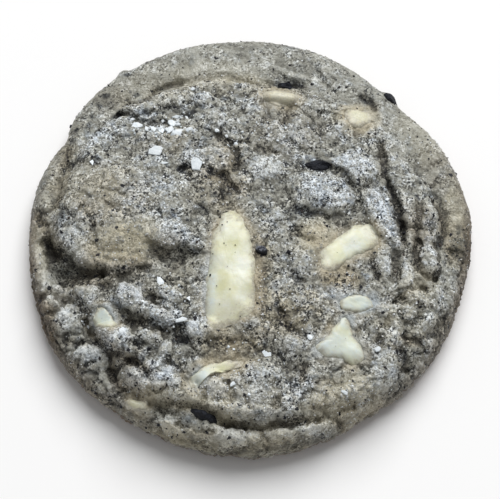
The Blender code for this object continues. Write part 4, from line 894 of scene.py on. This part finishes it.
def dough_detail(points, calm):
    """Fine relief of the crust in millimetres, outwards: plates, clods, crumbs and grain."""
    bent = points + CRUST_BEND * noise_columns(points, 3.4, (38, 39, 40))
    plates = cobbles(bent, *PLATES) - 0.8
    clods = cobbles(bent, *CLODS) - 0.65
    crumbs = cobbles(points, *CRUMBLES) - 0.5
    grain = layered_noise(points, 0.8, 2, 36, 0.7)
    coarse = (PLATE_RISE * plates + CLOD_RISE * clods) * (0.8 + 0.6 * noise(points, 9.0, 37))
    fine = CRUMB_RISE * crumbs + GRAIN_RISE * grain
    return coarse * (1.0 - 0.75 * calm) + fine * (1.0 - 0.45 * calm)


def calmness(x, y, skirt, chunk_depth):
    """How smooth the crust is, 0 to 1: most on the chunks, the far skirt and the far rim."""
    by_rim = ease((np.hypot(x, y) - rim_radius(np.arctan2(y, x)) + 3.0) / 2.5)
    calm = np.maximum(skirt * ease((y + 5.0) / 14.0), ease(chunk_depth + 0.3))
    return np.maximum(calm, by_rim * ease((y + 16.0) / 16.0))


def make_dough(material, chunk_loops):
    """The baked dough, which closes round the chunks set in it."""
    points, faces = dough_mesh()
    normals = point_normals(points, faces)
    x, y, z = points.T
    depths = (outline_distance(x, y, loop.tolist()) for loop in chunk_loops)
    chunk_depth = functools.reduce(np.maximum, depths)
    marks = dough_marks(points, chunk_depth)
    top = z > BULGE_HEIGHT
    calm = calmness(x, y, marks["skirt"], chunk_depth)
    underside = normals[:, 2] < -0.95
    detail = dough_detail(points, calm) * np.where(underside, 0.0, ease(z / 1.5))
    raised = np.where(top, relief_height(x, y), 0.0) + detail
    close = smoothed(raised, faces, CRUMB_ROUNDS)
    # Heights over the surroundings: frost and sugar on the tops, and painted light and shade in the crust's
    # tone.
    marks["crumb_raised"] = raised - close
    marks["lump_raised"] = close - smoothed(close, faces, LUMP_ROUNDS)
    sunk = np.where(top, POCKET_DEPTH * ease((chunk_depth + 0.2) / 1.2), 0.0)
    points = points + normals * detail[:, None]
    points[:, 2] = np.maximum(points[:, 2] - sunk, 0.0)
    item = new_mesh_object("crusted_dough", points, faces, material)
    add_marks(item, marks)
    return item, points, faces, marks, chunk_depth


def inset_piece(name, loop, proud, depth, material, rings, waves, seed, film=0.0):
    """A closed piece set in the dough: uneven top, rounded edge and a foot hidden in the dough."""
    centre = loop.mean(axis=0)
    ground = float(top_height(*centre))
    shares = np.sin(np.linspace(0.0, 0.5 * math.pi, rings + 1))[1:]
    levels = []
    for share in shares:
        plan = centre + (loop - centre) * share
        swell = proud - (proud + EDGE_SINK) * share ** 6
        levels.append(np.column_stack((plan, top_height(*plan.T) + swell)))
    waist = centre + (loop - centre) * 0.94
    levels.append(np.column_stack((waist, levels[-1][:, 2] - 0.5 * depth)))
    foot = centre + (loop - centre) * 0.7
    levels.append(np.column_stack((foot, top_height(*foot.T) - depth)))
    points = np.vstack((*levels, (*centre, ground + proud), (*centre, ground - depth)))
    points[:, 2] += waves * layered_noise(points, 3.0, 3, seed, 0.6)
    item = new_mesh_object(name, points, stacked_faces(len(loop), len(levels)), material)
    plan = points[:, :2].T
    add_marks(item, {"edge": np.append(np.repeat((*shares, 1.0, 1.0), len(loop)), (0.0, 1.0)),
                     "film": np.maximum(film, patch_strength(*plan, FILMED)),
                     "cool": patch_strength(*plan, COOLED)})
    return item, points


def random_turns(draw, count):
    """Random rotation matrices."""
    q = draw.normal(size=(count, 4))
    w, x, y, z = (q / np.linalg.norm(q, axis=1)[:, None]).T
    rows = ((1 - 2 * (y * y + z * z), 2 * (x * y - z * w), 2 * (x * z + y * w)),
            (2 * (x * y + z * w), 1 - 2 * (x * x + z * z), 2 * (y * z - x * w)),
            (2 * (x * z - y * w), 2 * (y * z + x * w), 1 - 2 * (x * x + y * y)))
    return np.moveaxis(np.array(rows), 2, 0)


# Shapes of the grains: points and triangles.
OCTAHEDRON = (np.array(((1, 0, 0), (0, 1, 0), (-1, 0, 0), (0, -1, 0), (0, 0, 1), (0, 0, -1)), float),
              np.array(((0, 1, 4), (1, 2, 4), (2, 3, 4), (3, 0, 4),
                        (1, 0, 5), (2, 1, 5), (3, 2, 5), (0, 3, 5))))
BLOCK = (np.array(list(itertools.product((-0.7, 0.7), repeat=3))),
         np.array(((0, 1, 3), (0, 3, 2), (4, 6, 7), (4, 7, 5), (0, 4, 5), (0, 5, 1),
                   (2, 3, 7), (2, 7, 6), (0, 2, 6), (0, 6, 4), (1, 5, 7), (1, 7, 3))))


def scatter(name, shape, places, sizes, flatness, jitter, material, seed):
    """Many small uneven grains as one joined mesh."""
    corners, triangles = shape
    draw = np.random.default_rng(seed)
    count = len(places)
    grains = corners[None] * (1.0 + jitter * draw.uniform(-1.0, 1.0, (count, len(corners), 1)))
    grains = grains * draw.uniform(flatness, 1.0, (count, 1, 3))
    grains = np.einsum("nij,nkj->nki", random_turns(draw, count), grains)
    points = places[:, None] + grains * sizes[:, None, None] * 0.5
    faces = triangles[None] + (np.arange(count) * len(corners))[:, None, None]
    item = new_mesh_object(name, points.reshape(-1, 3), faces.reshape(-1, 3), material, False)
    add_marks(item, {"tone": np.repeat(draw.uniform(0.0, 1.0, count), len(corners))})
    return item


def spots_on(points, faces, weight, count, seed):
    """Random places on a surface, likelier where the weight is high."""
    draw = np.random.default_rng(seed)
    a, b, c = (points[faces[:, corner]] for corner in range(3))
    area = 0.5 * np.linalg.norm(np.cross(b - a, c - a), axis=1)
    chance = area * weight[faces].mean(axis=1)
    pick = draw.choice(len(faces), count, p=chance / chance.sum())
    u, v = draw.uniform(0.0, 1.0, (2, count, 1))
    over = u + v > 1.0
    u = np.where(over, 1.0 - u, u)
    v = np.where(over, 1.0 - v, v)
    return a[pick] + (b[pick] - a[pick]) * u + (c[pick] - a[pick]) * v


def strew(name, shape, row, points, faces, weight, material, more=()):
    """Grains on a surface, likelier where the weight is high, and more at given x, y, z and size."""
    count, usual, spread, largest, flatness, jitter, seed = row
    places = spots_on(points, faces, weight, count, seed)
    sizes = np.random.default_rng(seed + 1).lognormal(math.log(usual), spread, count)
    strewn = np.column_stack((places, np.minimum(sizes, largest)))
    grains = np.vstack((strewn, *more))
    return scatter(name, shape, grains[:, :3], grains[:, 3], flatness, jitter, material, seed + 2)


def laid_on(surface, rows):
    """Rows of x, y and size with the height of a surface's points there: x, y, height, size."""
    laid_rows = []
    for x, y, size in rows:
        near = np.hypot(surface[:, 0] - x, surface[:, 1] - y) < 1.0
        laid_rows.append((x, y, surface[near, 2].max(), size))
    return laid_rows


def make_salt_flakes(material, points):
    """Flat angular crystals lying on the crust."""
    draw = np.random.default_rng(71)
    surface = points[points[:, 2] > BULGE_HEIGHT]
    all_points = []
    all_faces = []
    start = 0
    for x, y, length, width, turn in SALT_FLAKES:
        nearest = np.argmin(np.hypot(surface[:, 0] - x, surface[:, 1] - y))
        ground = surface[nearest, 2]
        sides = int(draw.integers(4, 8))
        tilt = draw.uniform(-0.18, 0.18, 2)
        angle = np.linspace(0.0, 2.0 * np.pi, sides, endpoint=False) + draw.uniform(-0.3, 0.3, sides)
        reach = 0.5 * draw.uniform(0.75, 1.3, sides)
        for share, lift in FLAKE_LEVELS:
            along = length * share * reach * np.cos(angle)
            across = width * share * reach * np.sin(angle)
            height = ground + lift + tilt[0] * along + tilt[1] * across
            all_points.append(np.column_stack((*laid(along, across, x, y, turn), height)))
        all_points.append([(x, y, ground + lift) for lift in FLAKE_MIDDLES])
        all_faces.append(start + stacked_faces(sides, len(FLAKE_LEVELS)))
        start += len(FLAKE_LEVELS) * sides + 2
    return new_mesh_object("salt_flakes", np.vstack(all_points), np.vstack(all_faces), material, False)


# ================================================================ materials

def rgba(colour):
    """A colour with full opacity, or the socket that was passed."""
    return colour if isinstance(colour, bpy.types.NodeSocket) else (*colour, 1.0)


class Surface:
    """A material and short ways to add and link its nodes."""

    def __init__(self, name, roughness, specular=0.5):
        self.material = bpy.data.materials.new(name)
        self.material.use_nodes = True
        self.tree = self.material.node_tree
        self.shader = self.tree.nodes["Principled BSDF"]
        self.shader.inputs["Roughness"].default_value = roughness
        self.shader.inputs["Specular IOR Level"].default_value = specular
        place = self.tree.nodes.new("ShaderNodeTexCoord").outputs["Object"]
        self.place = self.node("ShaderNodeVectorMath", {0: place, 3: 1.0 / MM}, operation="SCALE").outputs[0]

    def node(self, kind, inputs, **settings):
        """A node whose inputs are linked to sockets or set to values."""
        item = self.tree.nodes.new(kind)
        for key, value in settings.items():
            setattr(item, key, value)
        for key, value in inputs.items():
            if isinstance(value, bpy.types.NodeSocket):
                self.tree.links.new(value, item.inputs[key])
            else:
                item.inputs[key].default_value = value
        return item

    def mark(self, name):
        """A number stored on the mesh."""
        return self.node("ShaderNodeAttribute", {}, attribute_name=name).outputs["Fac"]

    def noise(self, width, detail=2.0, roughness=0.5, distortion=0.0):
        """Noise whose features are about the given width in millimetres."""
        inputs = {"Vector": self.place, "Scale": 1.0 / width, "Detail": detail,
                  "Roughness": roughness, "Distortion": distortion}
        return self.node("ShaderNodeTexNoise", inputs).outputs["Fac"]

    def cells(self, width, output="Distance"):
        """Cells about the given width in millimetres: distance to each one's middle, or its colour."""
        inputs = {"Vector": self.place, "Scale": 1.0 / width}
        return self.node("ShaderNodeTexVoronoi", inputs).outputs[output]

    def times(self, a, b):
        """Product of two values."""
        return self.node("ShaderNodeMath", {0: a, 1: b}, operation="MULTIPLY").outputs[0]

    def total(self, start, *parts):
        """A start plus a share of each value, from (value, share) pairs."""
        for value, share in parts:
            inputs = {0: value, 1: share, 2: start}
            start = self.node("ShaderNodeMath", inputs, operation="MULTIPLY_ADD").outputs[0]
        return start

    def larger(self, a, b):
        """The larger of two values."""
        return self.node("ShaderNodeMath", {0: a, 1: b}, operation="MAXIMUM").outputs[0]

    def stretch(self, value, low, high, to_low=0.0, to_high=1.0):
        """Spreads a range of a value over another range, without passing its ends."""
        inputs = {"Value": value, "From Min": low, "From Max": high, "To Min": to_low, "To Max": to_high}
        return self.node("ShaderNodeMapRange", inputs).outputs["Result"]

    def patchy(self, name, value, low, high, least=0.0, most=1.0):
        """A number stored on the mesh, weakened unevenly by a value."""
        return self.times(self.mark(name), self.stretch(value, low, high, least, most))

    def specks(self, width, smallest, largest, edge, start=0.0):
        """Specks of uneven size, one to a cell at most: 1 on them and 0 off them."""
        size = self.stretch(self.cells(width, "Color"), 0.0, 1.0, smallest, largest)
        outside = self.total(start, (self.cells(width), 1.0), (size, -1.0))
        return self.stretch(outside, 0.0, edge, 1.0, 0.0)

    def mix(self, factor, a, b, blend="MIX"):
        """Blend of two colours."""
        colours = {0: factor, 6: rgba(a), 7: rgba(b)}
        return self.node("ShaderNodeMix", colours, data_type="RGBA", blend_type=blend).outputs[2]

    def tint(self, factor, colour, shade):
        """A colour darkened by a shade."""
        return self.mix(factor, colour, shade, "MULTIPLY")

    def ramp(self, value, stops):
        """Colours along a value, from (place, colour) stops."""
        item = self.node("ShaderNodeValToRGB", {"Fac": value})
        elements = item.color_ramp.elements
        for number, (place, colour) in enumerate(stops):
            element = elements[number] if number < 2 else elements.new(place)
            element.position = place
            element.color = rgba(colour)
        return item.outputs["Color"]

    def bump(self, height, distance, strength=1.0, normal=None):
        """Bump from a height of 0 to 1 that stands for the given millimetres."""
        inputs = {"Height": height, "Distance": distance * MM, "Strength": strength}
        if normal is not None:
            inputs["Normal"] = normal
        return self.node("ShaderNodeBump", inputs).outputs["Normal"]

    def wear(self, colour, normal=None, roughness=None):
        """Links the finished colour, bump and roughness to the shader."""
        finish = {"Base Color": colour, "Normal": normal, "Roughness": roughness}
        for name, socket in finish.items():
            if socket is not None:
                self.tree.links.new(socket, self.shader.inputs[name])
        return self.material


TAN_CRUST = ((0.00, (0.021, 0.021, 0.020)), (0.24, (0.102, 0.100, 0.086)), (0.46, (0.274, 0.272, 0.234)),
             (0.70, (0.450, 0.452, 0.405)), (1.00, (0.730, 0.735, 0.680)))
FROSTED_CRUST = ((0.00, (0.018, 0.024, 0.036)), (0.24, (0.080, 0.095, 0.120)), (0.46, (0.264, 0.296, 0.326)),
                 (0.66, (0.490, 0.546, 0.600)), (0.84, (0.715, 0.780, 0.845)), (1.00, (0.890, 0.950, 0.990)))
BAKED_UNDERSIDE = ((0.25, (0.085, 0.050, 0.028)), (0.75, (0.270, 0.180, 0.105)))
BROWN_TINT = (0.59, 0.49, 0.37)
CREASE_SHADE_TINT = (0.62, 0.50, 0.36)
WARM_TINT = (0.97, 0.89, 0.74)
RIM_BROWN_AND_SHADE_TINT = (0.36, 0.27, 0.19)
SMUDGE_TINT = (0.46, 0.51, 0.59)
PALE_CRUST = ((0.38, 0.34, 0.22), (0.70, 0.66, 0.52))
TAN_VEIL = ((0.34, 0.28, 0.18), (0.70, 0.65, 0.50))
COOL_VEIL = (0.50, 0.55, 0.57)
GLINT = (0.82, 0.87, 0.90)
BLACK_CRUMB = (0.016, 0.017, 0.022)


def dough_tone(s, grain, frost, lump, clump, smudge):
    """Lightness of the crust: crystals on frost and in clumps, raised parts light and hollows dark,
    partly as sugar on the tops and partly as painted light and shade, and creases in painted shade.
    """
    skirt = s.mark("skirt")
    contrast = s.times(clump, s.stretch(skirt, 0.0, 1.0, 1.0, 0.65))
    contrast = s.times(contrast, s.stretch(frost, 0.0, 1.0, 0.75, 1.4))
    crystal = s.total(-1.075, (s.cells(0.44, "Color"), 0.85), (grain, 1.3))
    mottle = s.total(-0.5, (s.noise(3.2, 3.0, 0.6), 1.0))
    # Raised crumbs lighter and hollows darker: partly sugar on the tops, partly painted light and shade.
    crumb = s.stretch(s.mark("crumb_raised"), -0.22, 0.22, -1.0, 1.0)
    # The crease mark takes lightness off as painted shade.
    return s.total(0.49, (crystal, contrast), (mottle, s.stretch(skirt, 0.0, 1.0, 0.15, 0.75)),
                   (frost, 0.16), (lump, 0.09), (crumb, 0.16), (s.mark("crease_shade"), -0.10),
                   (smudge, -0.30), (s.mark("pale"), 0.16))


def tinted_crust(s, colour, grain, patches, smudge):
    """The crust's colour: browned, warm, pale, stained and filmed parts, painted shade in creases and on the
    side.
    """
    colour = s.tint(s.patchy("browned", patches, 0.3, 0.7, 0.35, 0.9), colour, BROWN_TINT)
    # Painted shade in the creases, warm brown.
    colour = s.tint(s.times(s.mark("crease_shade"), 0.6), colour, CREASE_SHADE_TINT)
    colour = s.tint(s.patchy("warmed", s.noise(2.4, 3.0, 0.6), 0.35, 0.6, 0.35, 1.0), colour, WARM_TINT)
    colour = s.mix(s.patchy("pale", patches, 0.3, 0.7, 0.25, 0.85), colour, s.mix(grain, *PALE_CRUST))
    # Baked browning and painted shade on the side.
    colour = s.tint(s.times(s.mark("rim_brown_and_shade"), 0.9), colour, RIM_BROWN_AND_SHADE_TINT)
    stain = s.stretch(s.noise(3.4, 4.0, 0.65, 0.4), 0.57, 0.68, 0.0, 0.85)
    stain = s.times(stain, s.stretch(s.mark("skirt"), 0.0, 1.0, 1.0, 0.65))
    colour = s.tint(s.larger(stain, smudge), colour, SMUDGE_TINT)
    veil = s.mix(s.mark("cool"), s.mix(grain, *TAN_VEIL), COOL_VEIL)
    return s.mix(s.patchy("film", s.noise(3.0, 2.0, 0.6), 0.34, 0.58, 0.08, 0.78), colour, veil)


def dough_material():
    """Crust of grey dough: sugary grain, frosted and browned patches, black crumb specks."""
    s = Surface("crusted_dough", 0.62, 0.4)
    grain = s.noise(0.36, 1.0, 0.6)
    patches = s.noise(1.5, 3.0, 0.6)
    broad = s.noise(6.0, 2.0, 0.5)
    clump = s.stretch(s.noise(2.6, 3.0, 0.65), 0.38, 0.66, 0.15, 2.1)
    # Height of the lumps over their surroundings: frost on their tops, and painted light and shade in the
    # tone.
    lump = s.stretch(s.mark("lump_raised"), -0.9, 0.9, -1.0, 1.0)
    frost = s.stretch(s.total(-2.45, (s.mark("frosted"), 0.55), (lump, 0.30), (patches, 2.6),
                              (grain, 0.9), (broad, 1.4)), 0.0, 0.9)
    smudge = s.patchy("smudged", s.noise(1.1, 3.0, 0.7), 0.36, 0.58, 0.25, 1.0)
    tone = dough_tone(s, grain, frost, lump, clump, smudge)
    frosting = s.times(frost, s.stretch(s.mark("skirt"), 0.0, 1.0, 0.95, 0.5))
    colour = s.mix(frosting, s.ramp(tone, TAN_CRUST), s.ramp(tone, FROSTED_CRUST))
    colour = tinted_crust(s, colour, grain, patches, smudge)
    glint = s.times(s.specks(0.63, -0.36, 0.28, 0.12), s.stretch(frost, 0.1, 0.9, 0.1, 0.9))
    colour = s.mix(glint, colour, GLINT)
    fleck = s.times(s.specks(0.8, -0.34, 0.28, 0.12), s.stretch(clump, 0.4, 1.3, 0.25, 0.9))
    speck = s.specks(1.9, -0.24, 0.24, 0.08, s.total(-0.25, (grain, 0.50)))
    colour = s.mix(s.larger(speck, fleck), colour, BLACK_CRUMB)
    baked = s.ramp(s.total(0.0, (grain, 0.5), (broad, 0.5)), BAKED_UNDERSIDE)
    colour = s.mix(s.mark("underneath"), colour, baked)
    normal = s.bump(s.cells(0.55), 0.22, 0.6, s.bump(s.noise(0.32, 3.0, 0.7), 0.28))
    return s.wear(colour, normal, s.stretch(grain, 0.3, 0.8, 0.75, 0.42))


def chocolate_material():
    """White chocolate: smooth cream, thinly filmed with dough towards its edges."""
    s = Surface("white_chocolate", 0.42, 0.45)
    s.shader.inputs["Subsurface Weight"].default_value = 0.15
    s.shader.inputs["Subsurface Radius"].default_value = (1.0, 0.8, 0.5)
    s.shader.inputs["Subsurface Scale"].default_value = 1.2 * MM
    cloud = s.noise(4.0, 3.0, 0.55)
    grain = s.stretch(s.noise(0.4, 3.0, 0.75), 0.3, 0.7)
    cream = s.mix(s.stretch(cloud, 0.35, 0.65), (0.67, 0.67, 0.43), (0.78, 0.80, 0.69))
    cream = s.mix(s.patchy("cool", cloud, 0.3, 0.7, 0.5, 1.0), cream, (0.58, 0.68, 0.70))
    dusty = s.mix(grain, (0.36, 0.33, 0.24), (0.70, 0.67, 0.54))
    cream = s.mix(s.patchy("film", cloud, 0.35, 0.65, 0.55, 0.9), cream, dusty)
    edge = s.total(-0.45, (s.mark("film"), 0.30), (s.mark("edge"), 1.0), (s.noise(1.1, 3.0, 0.7), 0.9))
    crust = s.mix(grain, (0.24, 0.21, 0.15), (0.60, 0.58, 0.49))
    cream = s.mix(s.stretch(edge, 0.55, 1.00, 0.0, 0.48), cream, (0.56, 0.52, 0.38))
    cream = s.mix(s.stretch(edge, 0.84, 1.12, 0.0, 0.95), cream, crust)
    colour = s.mix(s.times(s.specks(1.6, -0.42, 0.10, 0.06), 0.85), cream, (0.06, 0.05, 0.035))
    return s.wear(colour, s.bump(s.noise(0.9, 3.0, 0.6), 0.06))


def cookie_material():
    """Dark cookie: nearly black crumb with a faint gloss, dusted where it is cool."""
    s = Surface("dark_cookie", 0.5, 0.3)
    grain = s.noise(0.5, 3.0, 0.7)
    colour = s.ramp(grain, ((0.35, (0.004, 0.005, 0.008)), (0.62, (0.016, 0.019, 0.028)),
                            (0.75, (0.075, 0.085, 0.105))))
    dusted = s.patchy("cool", s.noise(0.7, 3.0, 0.7), 0.40, 0.60)
    colour = s.mix(dusted, colour, (0.36, 0.38, 0.44))
    normal = s.bump(s.cells(0.6), 0.30, 0.8, s.bump(grain, 0.6))
    return s.wear(colour, normal, s.stretch(grain, 0.3, 0.7, 0.45, 0.8))


def salt_material():
    """Salt flakes: milky white crystals."""
    s = Surface("salt", 0.30, 0.6)
    colour = s.mix(s.noise(0.8, 2.0), (0.50, 0.57, 0.62), (0.88, 0.92, 0.94))
    return s.wear(colour, s.bump(s.noise(0.35, 2.0), 0.06))


def sugar_material():
    """Sugar grains of the crust, from greyish to white."""
    s = Surface("sugar", 0.32, 0.6)
    return s.wear(s.ramp(s.mark("tone"), ((0.0, (0.30, 0.29, 0.26)), (0.6, (0.50, 0.51, 0.49)),
                                          (1.0, (0.88, 0.92, 0.95)))))


def crumb_material():
    """Black cookie crumbs, some of them dark brown."""
    s = Surface("crumbs", 0.7, 0.3)
    colour = s.ramp(s.mark("tone"), ((0.0, (0.006, 0.006, 0.009)), (0.7, (0.018, 0.018, 0.024)),
                                     (1.0, (0.060, 0.048, 0.038))))
    return s.wear(colour, s.bump(s.noise(0.25, 2.0), 0.12))


def floor_material():
    """Plain white backdrop with the faintest unevenness."""
    s = Surface("backdrop", 0.9, 0.0)
    return s.wear(s.mix(s.noise(80.0, 1.0), (0.93, 0.93, 0.93), (0.95, 0.95, 0.95)))


# ================================================================ the scene

def dress(piece, slot, *nodes):
    """Puts a piece on the cookie, in place of the nodes it stands for."""
    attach(piece, "root")
    if nodes:
        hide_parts(*nodes)


def make_chunks(loops):
    """The white chocolate chunks; gives back the points of all of them."""
    chocolate = chocolate_material()
    chunk_points = []
    for number, ((proud, film, _), loop) in enumerate(zip(CHOCOLATE, loops), start=1):
        piece, points = inset_piece(f"chocolate_chunk_{number}", loop, proud, CHOCOLATE_DEPTH, chocolate,
                                    CHUNK_RINGS, CHUNK_WAVES, seed=80 + number, film=film)
        dress(piece, "white_chocolate", f"white_chocolate_{number}")
        chunk_points.append(points)
    return np.vstack(chunk_points)


def make_dark_pieces():
    """The dark cookie pieces that stand out of the crust."""
    cookie = cookie_material()
    for number, row in enumerate(COOKIE_PIECES, start=1):
        proud, seed = row[5:]
        loop = ragged(smooth_loop(shard_outline(row), SHARD_POINTS), SHARD_RAGGED, seed)
        piece, _ = inset_piece(f"dark_piece_{number}", loop, proud, COOKIE_DEPTH, cookie,
                               SHARD_RINGS, SHARD_WAVES, seed=90 + number)
        dress(piece, "dark_cookie", f"cookie_piece_{number}")


def make_grains(points, faces, marks, chunk_depth, chunk_points):
    """Salt flakes, salt splinters, sugar grains and black crumbs, all on the top."""
    salt = salt_material()
    dress(make_salt_flakes(salt, points), "dough")
    top = points[:, 2] > BULGE_HEIGHT + 0.5
    salted = top * patch_strength(*points[:, :2].T, SALTED)
    dress(strew("salt_splinters", BLOCK, SPLINTERS, points, faces, salted, salt), "dough")

    clear = top * (1.0 - ease(chunk_depth / 0.8 + 1.0) * 0.97)
    sugary = clear * (0.35 + 1.2 * marks["frosted"]) * (1.0 - 0.8 * marks["skirt"])
    sugary = sugary * ease(0.5 + marks["lump_raised"])
    sugary = sugary * (1.0 - 0.8 * marks["crease_shade"]) * (1.0 - 0.9 * marks["smudged"])
    sugary = sugary * ease(0.5 + 1.4 * layered_noise(points, 2.2, 2, 51))
    dress(strew("sugar_grains", BLOCK, SUGAR, points, faces, sugary, sugar_material()), "dough")

    crumby = clear * (0.5 + 3.0 * marks["smudged"] + 0.8 * marks["crease_shade"]) * (1.0 - 0.45 * marks["skirt"])
    on_chunks = laid_on(chunk_points, CHOCOLATE_CRUMBS)
    dress(strew("cookie_crumbs", OCTAHEDRON, CRUMBS, points, faces, crumby, crumb_material(), on_chunks),
          "dark_cookie")


def make_cookie():
    """The whole cookie: dough, chunks, dark pieces and grains."""
    chunk_loops = [ragged(smooth_loop(outline, CHUNK_POINTS), CHUNK_RAGGED, seed=140 + number)
                   for number, (_, _, outline) in enumerate(CHOCOLATE)]
    dough, *crust = make_dough(dough_material(), chunk_loops)
    dress(dough, "dough", "dough")
    chunk_points = make_chunks(chunk_loops)
    make_dark_pieces()
    make_grains(*crust, chunk_points)


def make_stage():
    """Pale floor, soft studio light from the far right and an even sky."""
    half = FLOOR_WIDTH / 2.0
    corners = [(-half, -half, 0.0), (half, -half, 0.0), (half, half, 0.0), (-half, half, 0.0)]
    floor = new_mesh_object("floor", corners, [(0, 1, 2, 3)], floor_material())
    lamp = bpy.data.lights.new("key", "AREA")
    lamp.shape = "DISK"
    lamp.size = KEY_WIDTH * MM
    lamp.energy = KEY_POWER
    key = bpy.data.objects.new("key", lamp)
    key.location = [distance * MM for distance in KEY_PLACE]
    key.rotation_euler = (-key.location).to_track_quat("-Z", "Y").to_euler()
    bpy.context.scene.collection.objects.link(key)
    world = bpy.data.worlds.new("studio")
    world.use_nodes = True
    world.node_tree.nodes["Background"].inputs["Color"].default_value = (1.0, 1.0, 1.0, 1.0)
    world.node_tree.nodes["Background"].inputs["Strength"].default_value = SKY_STRENGTH
    bpy.context.scene.world = world
    bpy.context.scene.view_settings.view_transform = "Standard"


def make_camera():
    """The photograph's view: from the near side, leaning a little from straight above."""
    lean = math.radians(FROM_STRAIGHT_ABOVE)
    data = bpy.data.cameras.new("camera")
    data.sensor_width = SENSOR_WIDTH
    shown_width = COOKIE_WIDTH / WIDTH_IN_PHOTO_SHARE
    data.lens = SENSOR_WIDTH * CAMERA_DISTANCE / shown_width
    data.clip_start = 0.01
    camera = bpy.data.objects.new("camera", data)
    x, y, z = CAMERA_TARGET
    camera.location = (x * MM, (y - CAMERA_DISTANCE * math.sin(lean)) * MM,
                       (z + CAMERA_DISTANCE * math.cos(lean)) * MM)
    camera.rotation_euler = (lean, 0.0, 0.0)
    bpy.context.scene.collection.objects.link(camera)
    bpy.context.scene.camera = camera


make_cookie()
make_stage()
make_camera()
